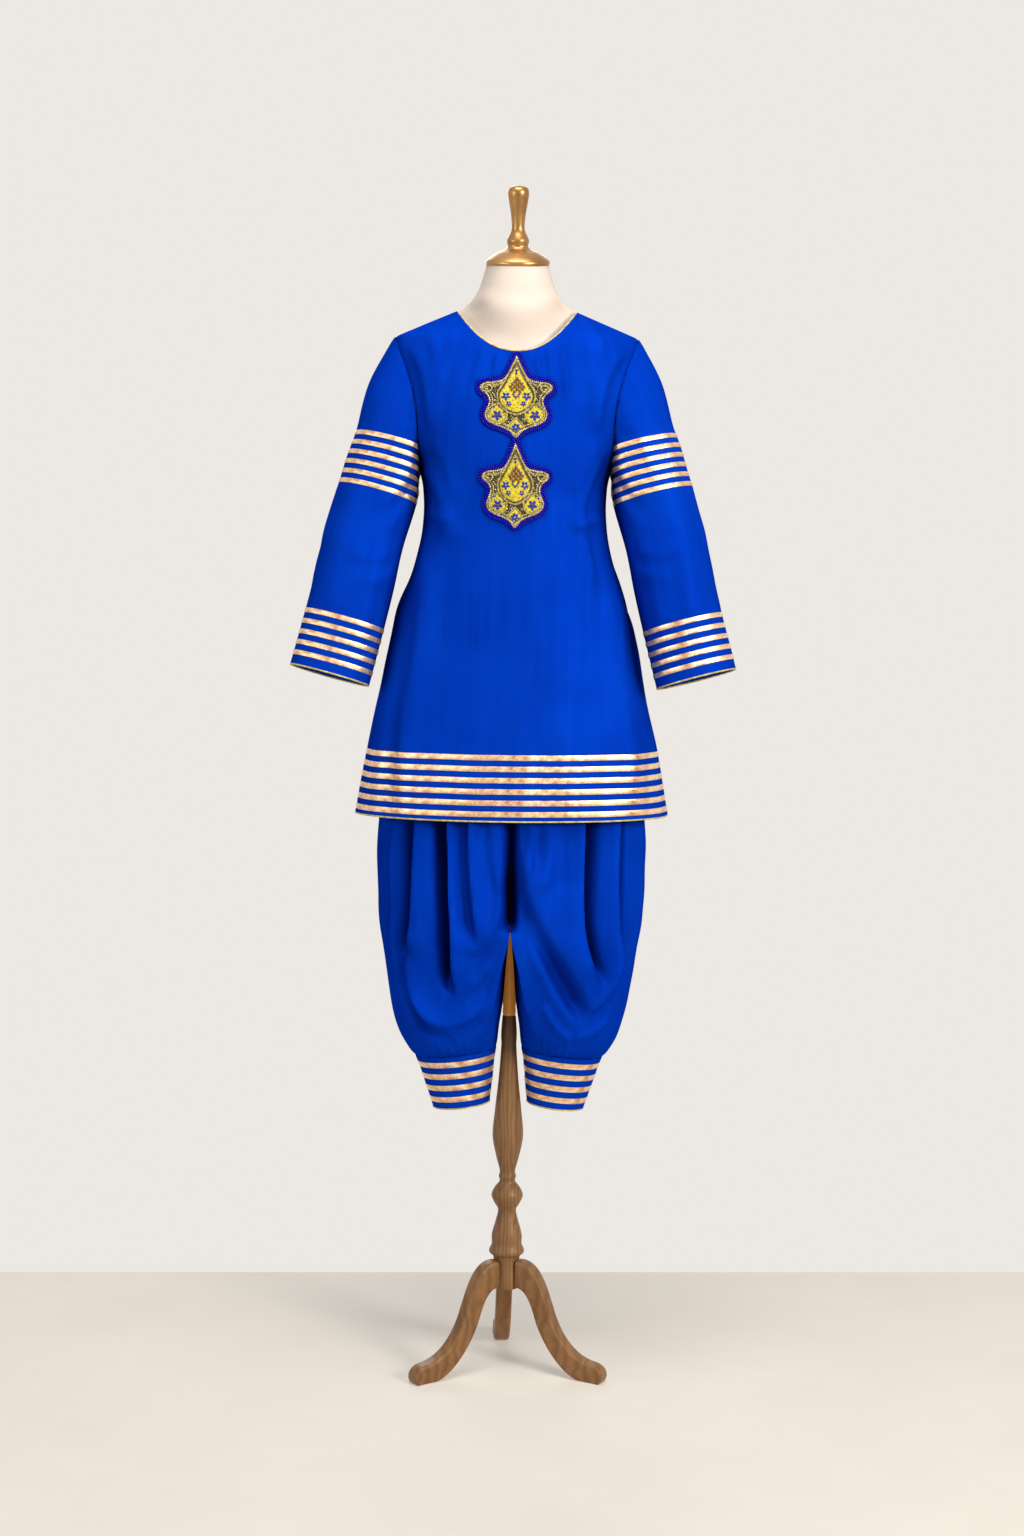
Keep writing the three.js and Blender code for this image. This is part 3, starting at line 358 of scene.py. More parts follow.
class Look:
    """A procedural material that is put together node by node."""

    def __init__(self, name, **sockets):
        self.material = bpy.data.materials.new(name)
        self.material.use_nodes = True
        self.tree = self.material.node_tree
        self.shader = self.tree.nodes["Principled BSDF"]
        for socket, value in sockets.items():
            self.shader.inputs[socket.replace("_", " ")].default_value = value

    def node(self, kind, settings=None, **inputs):
        node = self.tree.nodes.new("ShaderNode" + kind)
        for name, value in (settings or {}).items():
            setattr(node, name, value)
        for name, value in inputs.items():
            socket = node.inputs[int(name[1:])] if name[0] == "_" else node.inputs[name.replace("_", " ")]
            self.put(value, socket)
        return node

    def put(self, value, socket):
        if isinstance(value, bpy.types.NodeSocket):
            self.tree.links.new(value, socket)
        else:
            socket.default_value = value

    def place(self, scale=(1, 1, 1), uv=False):
        source = self.node("TexCoord").outputs["UV" if uv else "Object"]
        return self.node("Mapping", Vector=source, Scale=scale).outputs[0]

    def noise(self, vector, scale, detail=3.0, roughness=0.55):
        sockets = {"Scale": scale, "Detail": detail, "Roughness": roughness}
        return self.node("TexNoise", Vector=vector, **sockets).outputs[0]

    def grain(self, scales, detail=3.0, roughness=0.55, uv=True):
        return self.noise(self.place(scales, uv), 1.0, detail, roughness)

    def wave(self, vector, scale, direction="X", distortion=0.0, detail_scale=1.0):
        settings = {"bands_direction": direction}
        return self.node("TexWave", settings, Vector=vector, Scale=scale, Distortion=distortion,
                         Detail_Scale=detail_scale).outputs[1]

    def maths(self, operation, first, second):
        return self.node("Math", {"operation": operation}, _0=first, _1=second).outputs[0]

    def ramp(self, factor, *stops):
        node = self.node("ValToRGB", Fac=factor)
        elements = node.color_ramp.elements
        while len(elements) < len(stops):
            elements.new(0.5)
        for element, (position, colour) in zip(elements, stops):
            element.position, element.color = position, colour
        return node.outputs[0]

    def spread(self, factor, low, high):
        return self.node("MapRange", Value=factor, To_Min=low, To_Max=high).outputs[0]

    def mix(self, first, share, second):
        """Adds two heights, the first with its share and the second with the rest."""
        parts = (self.maths("MULTIPLY", first, share), self.maths("MULTIPLY", second, 1 - share))
        return self.maths("ADD", *parts)

    def dye(self, factor, *stops):
        """A ramp whose stops each have a place and a colour as it is seen."""
        return self.ramp(factor, *((place, srgb(*seen)) for place, seen in stops))

    def colour(self, socket):
        self.put(socket, self.shader.inputs["Base Color"])

    def rough(self, socket):
        self.put(socket, self.shader.inputs["Roughness"])

    def bump(self, *layers):
        """Each layer is a height and its depth in millimetres."""
        normal = None
        for height, depth in layers:
            inputs = {"Height": height, "Strength": 1.0, "Distance": depth * MM}
            if normal is not None:
                inputs["Normal"] = normal
            normal = self.node("Bump", **inputs).outputs[0]
        self.put(normal, self.shader.inputs["Normal"])


def cloth_look():
    glint = {"Specular_IOR_Level": 0.0, "Specular_Tint": srgb(6, 70, 220)}
    look = Look("satin", Roughness=0.46, Metallic=0.12, **glint)
    thread = look.place(uv=True)
    streaks = look.grain((90, 6, 1), 4.0)
    clouds = look.noise(look.place(), 9.0, detail=2.0)
    tone = look.mix(streaks, 0.35, clouds)
    dye = look.dye(tone, (0.3, (1, 47, 163)), (0.5, (2, 55, 178)), (0.72, (3, 62, 192)))
    # Painted shade: ambient occlusion darkens the blue dye in the creases and folds of the cloth and where it
    # lies close to other parts.
    painted_crease_shade = look.node("AmbientOcclusion", {"samples": 6}, Distance=0.035).outputs["AO"]
    painted_shade_stops = ((0.25, (0.10, 0.10, 0.16, 1)), (0.6, (0.45, 0.5, 0.6, 1)), (0.9, (1, 1, 1, 1)))
    shade = look.ramp(painted_crease_shade, *painted_shade_stops)
    look.colour(look.node("VectorMath", {"operation": "MULTIPLY"}, _0=dye, _1=shade).outputs[0])
    look.rough(look.spread(streaks, 0.36, 0.5))
    twill = look.wave(thread, 900.0, "DIAGONAL", 0.4)
    weft = look.wave(thread, 700.0, "Y", 0.6)
    slubs = look.grain((260, 900, 1), 2.0)
    look.bump((slubs, 0.10), (weft, 0.035), (twill, 0.03))
    return look.material


def foil_look():
    look = Look("foil_ribbon", Metallic=0.72, Roughness=0.3, Specular_IOR_Level=0.6)
    patches = look.grain((90, 110, 1), 4.0)
    flecks = look.grain((420, 900, 1))
    tone = look.mix(patches, 0.7, flecks)
    warm = ((0.3, (178, 114, 88)), (0.43, (218, 166, 120)), (0.54, (246, 210, 164)), (0.68, (255, 246, 226)))
    look.colour(look.dye(tone, *warm))
    look.rough(look.spread(flecks, 0.2, 0.42))
    ribs = look.wave(look.place(uv=True), 330.0, "X", 1.5, 2.0)
    look.bump((patches, 0.5), (flecks, 0.2), (ribs, 0.05))
    return look.material


def piping_look():
    look = Look("satin_piping", Roughness=0.38, Specular_IOR_Level=0.6, Sheen_Weight=0.3, Metallic=0.15)
    turns = look.wave(look.place(), 260.0, "DIAGONAL", 1.0)
    tone = look.noise(look.place(), 160.0)
    look.colour(look.dye(tone, (0.35, (172, 150, 66)), (0.65, (220, 202, 118))))
    look.bump((turns, 0.12), (tone, 0.1))
    return look.material


def thread_look(name, dark, light, metallic=0.0, roughness=0.45, shine=0.6):
    """Embroidery thread or beads: fine strands with a twist."""
    look = Look(name, Metallic=metallic, Roughness=roughness, Specular_IOR_Level=shine)
    strands = look.wave(look.place(), 420.0, "DIAGONAL", 2.0, 3.0)
    tone = look.noise(look.place(), 420.0, detail=4.0)
    look.colour(look.dye(tone, (0.32, dark), (0.68, light)))
    look.bump((strands, 0.12), (tone, 0.2))
    return look.material


def form_look():
    look = Look("jersey", Roughness=0.82, Sheen_Weight=0.2, Specular_IOR_Level=0.25)
    spot = look.place()
    clouds = look.noise(spot, 11.0, detail=3.0)
    look.colour(look.dye(clouds, (0.3, (222, 204, 188)), (0.7, (232, 218, 205))))
    ribs = look.wave(spot, 480.0, "Z", 0.8)
    wales = look.wave(spot, 520.0, "X", 0.6)
    look.bump((look.noise(spot, 60.0), 0.35), (ribs, 0.06), (wales, 0.06))
    return look.material


def metal_look(name, dark, light, roughness, metallic, glow=0.0):
    # Painted light: when glow is above zero, the piece gives off light in its own dark colour, though it is
    # no lamp.
    emission = {"Emission_Color": srgb(*dark), "Emission_Strength": glow}
    look = Look(name, Metallic=metallic, Roughness=roughness, **emission)
    spot = look.place()
    brushed = look.grain((40, 40, 900), uv=False)
    stains = look.noise(spot, 36.0, detail=5.0)
    look.colour(look.dye(stains, (0.32, dark), (0.62, light)))
    look.rough(look.spread(brushed, roughness - 0.07, roughness + 0.12))
    look.bump((brushed, 0.02), (stains, 0.006))
    return look.material


def wood_look(name, dark, middle, light, stretch):
    """Oiled wood. The grain runs along the axis that is stretched least."""
    look = Look(name, Roughness=0.46, Specular_IOR_Level=0.3, Coat_Weight=0.06, Coat_Roughness=0.25)
    along = look.place(stretch)
    wander = look.noise(along, 1.1, detail=4.0)
    rings = look.wave(along, 1.6, "X", 7.0, 1.4)
    pores = look.grain([7 * value for value in stretch], 5.0, 0.7, uv=False)
    tone = look.mix(rings, 0.3, wander)
    look.colour(look.dye(tone, (0.28, dark), (0.5, middle), (0.72, light)))
    look.rough(look.spread(pores, 0.34, 0.55))
    look.bump((pores, 0.25), (wander, 0.3))
    return look.material


CLOTH = cloth_look()
FOIL = foil_look()
PIPING = piping_look()
JERSEY = form_look()
BLUE_BEAD = thread_look("blue_beads", (8, 2, 120), (22, 10, 205), 0.0, 0.25, 0.12)
BLUE_THREAD = thread_look("blue_thread", (14, 26, 120), (44, 66, 180), shine=0.3)
YELLOW_THREAD = thread_look("yellow_thread", (190, 160, 4), (240, 224, 34))
MAROON_THREAD = thread_look("maroon_thread", (74, 38, 20), (150, 96, 56), 0.2, 0.4)
GOLD_BEAD = thread_look("gold_beads", (120, 104, 44), (240, 232, 184), 0.3, 0.22)
OLIVE_BEAD = thread_look("olive_beads", (64, 52, 20), (140, 122, 56), 0.3, 0.25)
GOLD_CORD = thread_look("gold_cord", (104, 88, 34), (206, 190, 116), 0.3, 0.3)
DARK_CORD = thread_look("dark_cord", (48, 34, 12), (96, 72, 30), 0.2, 0.4)
FELT = thread_look("felt_backing", (34, 27, 12), (74, 60, 28), 0.0, 0.8)
BRASS = metal_look("aged_brass", (146, 104, 58), (186, 142, 90), 0.3, 0.9)
# The rod's glow of 0.34 is painted light. It brightens the rod where it stands in the shade of the legs.
BRONZE = metal_look("glowing_bronze_paint", (176, 112, 44), (214, 146, 68), 0.42, 0.1, 0.34)
TURNED_WOOD = wood_look("turned_wood", (112, 78, 44), (128, 91, 54), (144, 105, 66), (40, 40, 5))
LEG_WOOD = wood_look("leg_wood", (116, 79, 43), (132, 92, 53), (146, 104, 63), (16, 16, 16))


# ---- the kurta's body --------------------------------------------------------------------
def body_width(z):
    share = (z - SHOULDER_TIP[1]) / (SHOULDER_NECK[1] - SHOULDER_TIP[1])
    slope = lerp(SHOULDER_TIP[0], SHOULDER_NECK[0], share)
    return np.where(z <= SHOULDER_TIP[1], table_at(BODY, "width", z), slope)


def body_point(x, z, side):
    share = np.minimum(np.abs(x) / body_width(z), 1)
    depth = table_at(BODY, side, z.ravel()).reshape(z.shape) * np.sqrt(1 - share * share)
    return stack(x, -depth if side == "front" else depth, z)


def skirt_rows(columns, heights, side):
    turn, z = np.meshgrid(np.pi * columns / HALF_COLUMNS, heights)
    width = body_width(z.ravel()).reshape(z.shape)
    depth = table_at(BODY, side, z.ravel()).reshape(z.shape)
    return stack(width * np.cos(turn), (-1 if side == "front" else 1) * depth * np.sin(turn), z)


def top_edge(columns, side):
    """The shoulder seam, the neckline and the other shoulder seam."""
    near = np.minimum(columns, HALF_COLUMNS - columns)
    sign = np.where(columns <= HALF_COLUMNS / 2, 1.0, -1.0)
    shoulder_x = sign * lerp(SHOULDER_TIP[0], SHOULDER_NECK[0], near / QUARTER)
    shoulder_z = lerp(SHOULDER_TIP[1], SHOULDER_NECK[1], near / QUARTER)
    neck_x = SHOULDER_NECK[0] * np.cos(np.pi * (columns - QUARTER) / (2 * QUARTER))
    centre, power = (NECK_FRONT_Z, 2.2) if side == "front" else (NECK_BACK_Z, 2.0)
    neck_z = centre + (SHOULDER_NECK[1] - centre) * np.abs(neck_x / SHOULDER_NECK[0]) ** power
    on_shoulder = near <= QUARTER
    return np.where(on_shoulder, shoulder_x, neck_x), np.where(on_shoulder, shoulder_z, neck_z)


def armhole_at(rise):
    """x and z of the armhole where it has risen by a share of its height."""
    rises = (ARMHOLE[:, 1] - UNDERARM_Z) / (SHOULDER_TIP[1] - UNDERARM_Z)
    return spline(rises, ARMHOLE, rise)


def upper_rows(columns, rises, side):
    column, rise = np.meshgrid(columns, rises)
    top_x, top_z = top_edge(column, side)
    near = np.minimum(column, HALF_COLUMNS - column)
    sign = np.where(column <= HALF_COLUMNS / 2, 1.0, -1.0)
    share = np.maximum(0, 1 - near / QUARTER)
    pull = armhole_at(rise.ravel())[:, 0].reshape(rise.shape) - lerp(ARMHOLE[0, 0], SHOULDER_TIP[0], rise)
    x = lerp(ARMHOLE[0, 0] * np.cos(np.pi * column / HALF_COLUMNS), top_x, rise) + sign * share * pull
    return body_point(x, lerp(UNDERARM_Z, top_z, rise), side)


# Folds of the body. Each has its path in x and z, its height and how soft its two sides are.
FRONT_FOLDS = [
    ([(118, 1010), (126, 900), (141, 780), (150, 690)], 7.2, 12, 20),
    ([(-102, 1050), (-108, 930), (-126, 800), (-134, 690)], 7.9, 20, 12),
    ([(-128, 1000), (-146, 860), (-164, 690)], 5.8, 12, 14),
    ([(52, 960), (58, 850), (60, 690)], 3.8, 22, 28),
    ([(-34, 900), (-44, 800), (-50, 690)], 3.5, 26, 20),
    ([(8, 860), (12, 780), (14, 690)], 2.2, 20, 24),
    ([(132, 1262), (112, 1232), (100, 1196), (96, 1150)], 4.6, 7, 12),
    ([(108, 1278), (94, 1240), (88, 1200)], 3.0, 8, 9),
    ([(-130, 1262), (-114, 1236), (-104, 1196), (-100, 1150)], 4.2, 12, 7),
    ([(-106, 1278), (-96, 1244), (-92, 1200)], 2.5, 9, 8),
    ([(112, 1146), (92, 1110), (79, 1064), (86, 1012), (101, 962)], 5.8, 5, 14),
    ([(-114, 1122), (-96, 1098), (-84, 1066), (-80, 1020)], 5.1, 14, 8),
    ([(100, 1150), (82, 1118), (64, 1078)], 2.8, 7, 10),
    ([(-98, 1148), (-80, 1110), (-66, 1070)], 2.4, 10, 7),
    ([(24, 1250), (26, 1230), (30, 1204)], 3.0, 3.5, 5),
    ([(36, 1256), (40, 1234), (43, 1212)], 2.2, 4, 4),
    ([(-22, 1249), (-25, 1230), (-30, 1204)], 2.8, 5, 3.5),
    ([(-38, 1257), (-44, 1232), (-52, 1190)], 2.5, 4, 5),
    ([(52, 1266), (58, 1236), (61, 1190)], 2.4, 4, 6),
    ([(106, 1060), (88, 1048), (62, 1044)], 3.4, 6, 9),
    ([(-108, 1066), (-88, 1052), (-66, 1050)], 3.0, 9, 6),
]
BACK_FOLDS = [
    ([(92, 1030), (104, 900), (120, 780), (128, 690)], 8.1, 14, 20),
    ([(-84, 1040), (-98, 900), (-110, 780), (-118, 690)], 7.4, 20, 15),
    ([(30, 990), (36, 860), (42, 690)], 6.1, 18, 24),
    ([(-24, 980), (-32, 850), (-38, 690)], 5.4, 20, 18),
    ([(138, 980), (150, 840), (164, 690)], 6.1, 12, 13),
    ([(-134, 960), (-150, 820), (-160, 690)], 5.4, 13, 12),
    ([(118, 1240), (84, 1206), (40, 1188), (-6, 1184)], 3.2, 9, 14),
    ([(-116, 1236), (-80, 1198), (-38, 1180)], 2.7, 14, 9),
    ([(112, 1140), (82, 1112), (48, 1092)], 3.5, 8, 13),
    ([(-112, 1138), (-78, 1104), (-40, 1086)], 3.1, 13, 8),
    ([(90, 1052), (40, 1038), (-30, 1042), (-86, 1054)], 3.8, 8, 11),
    ([(70, 1022), (20, 1012), (-40, 1016)], 2.4, 7, 9),
    ([(18, 1284), (14, 1240), (12, 1190)], 1.4, 6, 7),
    ([(-30, 1282), (-28, 1236), (-30, 1196)], 1.2, 7, 6),
]
SKIRT_FOLDS = {
    "front": [(28, 3.5, 13), (56, 5, 13), (101, 2, 14), (124, 4.5, 13), (158, 3, 13)],
    "back": [(34, 4, 13), (72, 5, 14), (107, 4.5, 14), (146, 4, 13)],
}


def patch_reach(z):
    """How far from the middle the patches reach at each height."""
    halves, drops = np.array(PATCH_HALVES).T
    upper, lower = (
        np.interp((top - z) / down, drops, halves * across, 0, 0) for top, across, down in PATCHES.values()
    )
    return np.maximum(upper, lower)


def kurta_height(x, z, angle, side):
    """How far the cloth stands off the plain shape of the body."""
    fade = np.clip((FOLD_TOP_Z - z) / (FOLD_TOP_Z - HEM_Z), 0, 1)
    height = np.zeros(x.shape)
    for centre, rise, spread in SKIRT_FOLDS[side]:
        height += rise * fade * 0.6 * bell(angle - centre, spread)
    for path, rise, left, right in FRONT_FOLDS if side == "front" else BACK_FOLDS:
        height += fold(x, z, path, rise, left, right)
    broad, fine = BODY_SEEDS[side]
    height += ripples(x, z, broad, 7, 60, 170, 0.45)
    height += ripples(x * 1.6, z * 0.7, fine, 8, 18, 46, 0.12)
    if side == "front":
        flat = smooth(13, 2, np.abs(x) - patch_reach(z)) * smooth(1030, 1042, z)
        height = lerp(height, np.minimum(height, 0) * 0.3, flat)
    seam = np.minimum(angle, 180 - angle)
    return height * smooth(0, 7, seam)


def kurta_grid(side):
    columns = np.linspace(0, HALF_COLUMNS, STEPS * HALF_COLUMNS + 1)
    heights = two_runs(HEM_Z, HEM_TOP_Z, UNDERARM_Z, HEM_ROWS, BODICE_ROWS)
    rises = 1 - (1 - np.linspace(0, 1, YOKE_ROWS)) ** 1.6
    grid = np.concatenate([skirt_rows(columns, heights, side), upper_rows(columns, rises[1:], side)])
    normals = grid_normals(grid, False)
    normals[:, [0, -1], 1] *= np.where(grid[:, :1, 2] < UNDERARM_Z, 0, 1)
    normals = unit(normals)
    angle = np.broadcast_to(180 * columns / HALF_COLUMNS, grid.shape[:2])
    height = kurta_height(grid[..., 0], grid[..., 2], angle, side)
    upper = smooth(UNDERARM_Z, UNDERARM_Z + 12, grid[..., 2])
    near = np.minimum(columns, HALF_COLUMNS - columns)
    armhole_dip = -1.1 * upper * bell(near, 0.16)
    top = np.linspace(0, 1, len(grid))[:, None]
    shoulder_dip = -0.9 * bell(1 - top, 0.012) * (near <= QUARTER)
    grid = grid + normals * (height * smooth(0, 0.03, 1 - top) + armhole_dip + shoulder_dip)[..., None]
    return grid, grid_normals(grid, False)


def cloth_uv(grid):
    """Places along the threads: across each row, and along the middle column."""
    across = np.linalg.norm(np.diff(grid, axis=1), axis=-1).cumsum(1)
    across = np.concatenate([np.zeros((len(grid), 1)), across], 1)
    across -= across[:, across.shape[1] // 2][:, None]
    along = np.linalg.norm(np.diff(grid, axis=0), axis=-1).mean(1).cumsum()
    along = np.broadcast_to(np.concatenate([[0], along])[:, None], across.shape)
    return np.stack([across, along], -1)


def cloth_piece(name, grid, normals, closed, nodes):
    shell = walled_grid(grid, normals, grid_faces(*grid.shape[:2], closed), CLOTH_WALL)
    return Build(name).add_shell(shell, CLOTH).finish("cloth", nodes)


# ---- sleeves -----------------------------------------------------------------------------
def along_sleeve(points):
    return (points - SLEEVE_ORIGIN) @ SLEEVE_AXIS


def sleeve_ring(section, columns):
    turn = 2 * np.pi * columns / HALF_COLUMNS
    along, shift, width, depth = section
    centre = SLEEVE_ORIGIN + SLEEVE_AXIS * along
    across = (shift - width * np.cos(turn))[:, None] * SLEEVE_SIDE
    return centre + across + (depth * np.sin(turn))[:, None] * SLEEVE_FRONT


def sleeve_start(columns):
    """The armhole: from the underarm up the front to the shoulder, and down the back."""
    row = np.where(columns <= 8, columns, HALF_COLUMNS - columns)
    hole = spline(np.arange(len(ARMHOLE)), ARMHOLE, row)
    front = body_point(hole[:, 0], hole[:, 1], "front")
    back = body_point(hole[:, 0], hole[:, 1], "back")
    points = np.where((columns <= 8)[:, None], front, back)
    points[row >= 7.999, 1] = 0
    points[row <= 0.001, 1] = 0
    return points


def sleeve_grid():
    columns = np.linspace(0, HALF_COLUMNS, SLEEVE_COLUMNS, endpoint=False)
    turn = 2 * np.pi * columns / HALF_COLUMNS
    sections = list(zip(*(SLEEVE[key] for key in ("along", "shift", "width", "depth"))))
    start = sleeve_start(columns)
    top, below = sleeve_ring(sections[0], columns), sleeve_ring(sections[1], columns)
    reach = (sections[0][0] - along_sleeve(start)) / (along_sleeve(below) - along_sleeve(start))
    on_line = lerp(start, below, np.maximum(reach, 0.2)[:, None])
    ends = lerp(on_line, top, np.clip(0.35 - np.cos(turn), 0, 1)[:, None])
    across = -np.cos(turn)[:, None] * SLEEVE_SIDE + np.sin(turn)[:, None] * SLEEVE_FRONT
    cap = lerp(start, ends, 0.5) + across * CAP_BULGE * np.maximum(-np.cos(turn), 0)[:, None]
    rows = np.stack([start, cap, ends] + [sleeve_ring(section, columns) for section in sections[1:]])
    at = two_runs(0, SLEEVE_KNOTS[2], SLEEVE_KNOTS[-1], CAP_ROWS, SLEEVE_ROWS)
    return spline(SLEEVE_KNOTS, rows, at), at, turn


# Folds of the left sleeve: path in degrees round it and millimetres down it from the armhole.
SLEEVE_FOLDS = [
    ([(20, 40), (52, 96), (84, 150)], 3.0, 8, 16),
    ([(14, 66), (40, 130), (60, 176)], 2.4, 14, 8),
    ([(-16, 44), (-50, 104), (-88, 146)], 3.0, 16, 8),
    ([(-8, 72), (-36, 140), (-64, 190)], 2.2, 9, 14),
    ([(118, 60), (112, 150), (108, 240), (104, 330)], 2.6, 14, 20),
    ([(64, 190), (60, 250), (58, 320)], 2.2, 12, 16),
    ([(34, 186), (76, 204), (112, 202)], 2.4, 7, 12),
    ([(20, 206), (58, 226), (92, 232)], 1.8, 10, 6),
    ([(-30, 190), (-74, 208), (-116, 204)], 2.6, 12, 7),
    ([(-18, 214), (-66, 236), (-104, 238)], 2.0, 7, 10),
    ([(-120, 70), (-116, 160), (-112, 250), (-114, 335)], 2.8, 18, 13),
    ([(160, 40), (164, 120), (166, 220)], 2.0, 16, 14),
    ([(84, 20), (96, 60), (100, 100)], 1.4, 8, 10),
    ([(-150, 200), (-152, 270), (-156, 330)], 1.8, 12, 14),
]
MM_PER_DEGREE, CUFF_SEAM = 0.78, (275, 290)


def dressed_sleeve(side):
    grid, at, turn = sleeve_grid()
    degrees = np.degrees(turn)
    degrees = np.where(degrees > 180, degrees - 360, degrees)
    u, v = np.meshgrid(degrees * MM_PER_DEGREE, at)
    height = np.zeros(u.shape)
    swing, slide = (1.0, 0) if side == "left" else (0.86, 9)
    for path, rise, left, right in SLEEVE_FOLDS:
        for lap in (-360, 0, 360):
            there = [((angle + lap) * MM_PER_DEGREE, down + slide) for angle, down in path]
            height += fold(u, v, there, rise * swing, left, right)
    seam = np.abs(np.sin(u / MM_PER_DEGREE * np.pi / 360))
    height += ripples(u, v, SLEEVE_SEEDS[side], 7, 40, 120, 0.4) * seam
    at_seam = 0.9 * bell(v, 2.2)
    puckers = 0.35 * bell(v, 9) * np.sin(u / 3.1) * smooth(60, 110, np.abs(u / MM_PER_DEGREE))
    height = height * smooth(2, 24, v) * (1 - 0.55 * smooth(*CUFF_SEAM, v)) + puckers - at_seam
    normals = grid_normals(grid, True)
    grid = mirrored(grid + normals * height[..., None], side)
    return grid, grid_normals(grid, True)


# ---- ribbons and pipings -----------------------------------------------------------------
RIBBON_LIFT = np.array((0.3, 0.55, 0.6, 0.6, 0.55, 0.3))
RIBBON_WALL, LEAST_RIBBON, SEAM_MARGIN, PATTERN_SHIFT = 0.5, 0.8, 0.7, 37.0


def ribbon(name, grid, normals, height, high, low, closed, node):
    """A ribbon sewn on a grid where a height runs from high to low. It stops at the grid's first row."""
    sign = 1.0 if height[-1].mean() > height[0].mean() else -1.0
    rows, columns = len(RIBBON_LIFT), grid.shape[1]
    points, facing = np.zeros((rows, columns, 3)), np.zeros((rows, columns, 3))
    shown = np.ones(columns, bool)
    for c in range(columns):
        heights = np.maximum.accumulate(sign * height[:, c])
        first = heights[0] + SEAM_MARGIN
        near, far = sorted((sign * high, sign * low))
        if far < first + LEAST_RIBBON:
            shown[c] = False
            near = far - LEAST_RIBBON
        targets = np.linspace(max(near, min(first, far - LEAST_RIBBON)), far, rows)
        for k in range(3):
            points[:, c, k] = np.interp(targets, heights, grid[:, c, k])
            facing[:, c, k] = np.interp(targets, heights, normals[:, c, k])
    facing = unit(facing)
    points = points + facing * RIBBON_LIFT[:, None, None]
    faces = grid_faces(rows, columns, closed)
    keep = shown[faces % columns].all(1)
    shell = walled_grid(points, facing, faces[keep], RIBBON_WALL, PATTERN_SHIFT * len(name))
    return Build(name).add_shell(compact(*shell), FOIL).finish("ribbon", [node])


def ribbons(base, grid, normals, height, plan, closed=True):
    made = []
    for k in range(plan["count"]):
        high = plan["first"] + plan["pitch"] * k
        name = f"{base}_{k + 1}"
        made.append(ribbon(f"foil_{name}", grid, normals, height, high, high + plan["height"], closed, name))
    return made


def piping(name, edge, normals, off, node, radius=1.0):
    path = edge + off * radius - normals * 0.45
    points, faces = tube(path, radius, 10, True, twist=0.9, lobes=2, depth=0.09, up=normals)
    return Build(name).add(points, faces, PIPING).finish("piping", [node])


def build_kurta():
    front, front_normals = kurta_grid("front")
    back, back_normals = kurta_grid("back")
    pieces = {
        "front": cloth_piece("front_panel", front, front_normals, False, ["kurta_front"]),
        "back": cloth_piece("back_panel", back, back_normals, False, ["kurta_back"]),
    }
    skirt = int(np.searchsorted(front[:, 0, 2], 800))
    ring = np.concatenate([front[:skirt], back[:skirt, -2:0:-1]], 1)
    ring_normals = np.concatenate([front_normals[:skirt], back_normals[:skirt, -2:0:-1]], 1)
    trims = ribbons("hem_ribbon", ring, ring_normals, ring[..., 2], HEM_RIBBONS)
    trims.append(piping("hem_cord", ring[0], ring_normals[0], np.array((0, 0, -1.0)), "hem_piping"))
    first, last = STEPS * QUARTER, STEPS * (HALF_COLUMNS - QUARTER)
    neck = np.concatenate([front[-1, first:last], back[-1, last:first:-1]])
    inside = np.concatenate([front[-3, first:last], back[-3, last:first:-1]])
    facing = np.concatenate([front_normals[-2, first:last], back_normals[-2, last:first:-1]])
    trims.append(piping("neck_cord", neck, facing, unit(neck - inside), "neck_piping"))
    for side in SIDES:
        grid, normals = dressed_sleeve(side)
        sleeve = cloth_piece(f"{side}_sleeve", grid, normals, True, [f"sleeve_{side}"])
        along = along_sleeve(mirrored(grid, side))
        own = ribbons(f"sleeve_{side}_ribbon", grid, normals, along, UPPER_RIBBONS)
        own += ribbons(f"cuff_{side}_ribbon", grid, normals, along, CUFF_RIBBONS)
        axis = mirrored(SLEEVE_AXIS, side)
        own.append(piping(f"{side}_cuff_cord", grid[-1], normals[-1], axis, f"cuff_{side}_piping"))
    return pieces, trims


# ---- trousers ----------------------------------------------------------------------------
LEG_COLUMNS, LEG_INNER_COLUMNS = 32, 8
HALF_CROTCH_SEAM, MM_PER_TURN, PLEAT_GAIN = 0.02, 2.25, 1.25
# The groove between the legs: its depth and width at the crotch and above it.
GROOVE_DEPTHS, GROOVE_WIDTHS = (42, 21), (2.6, 2.1)

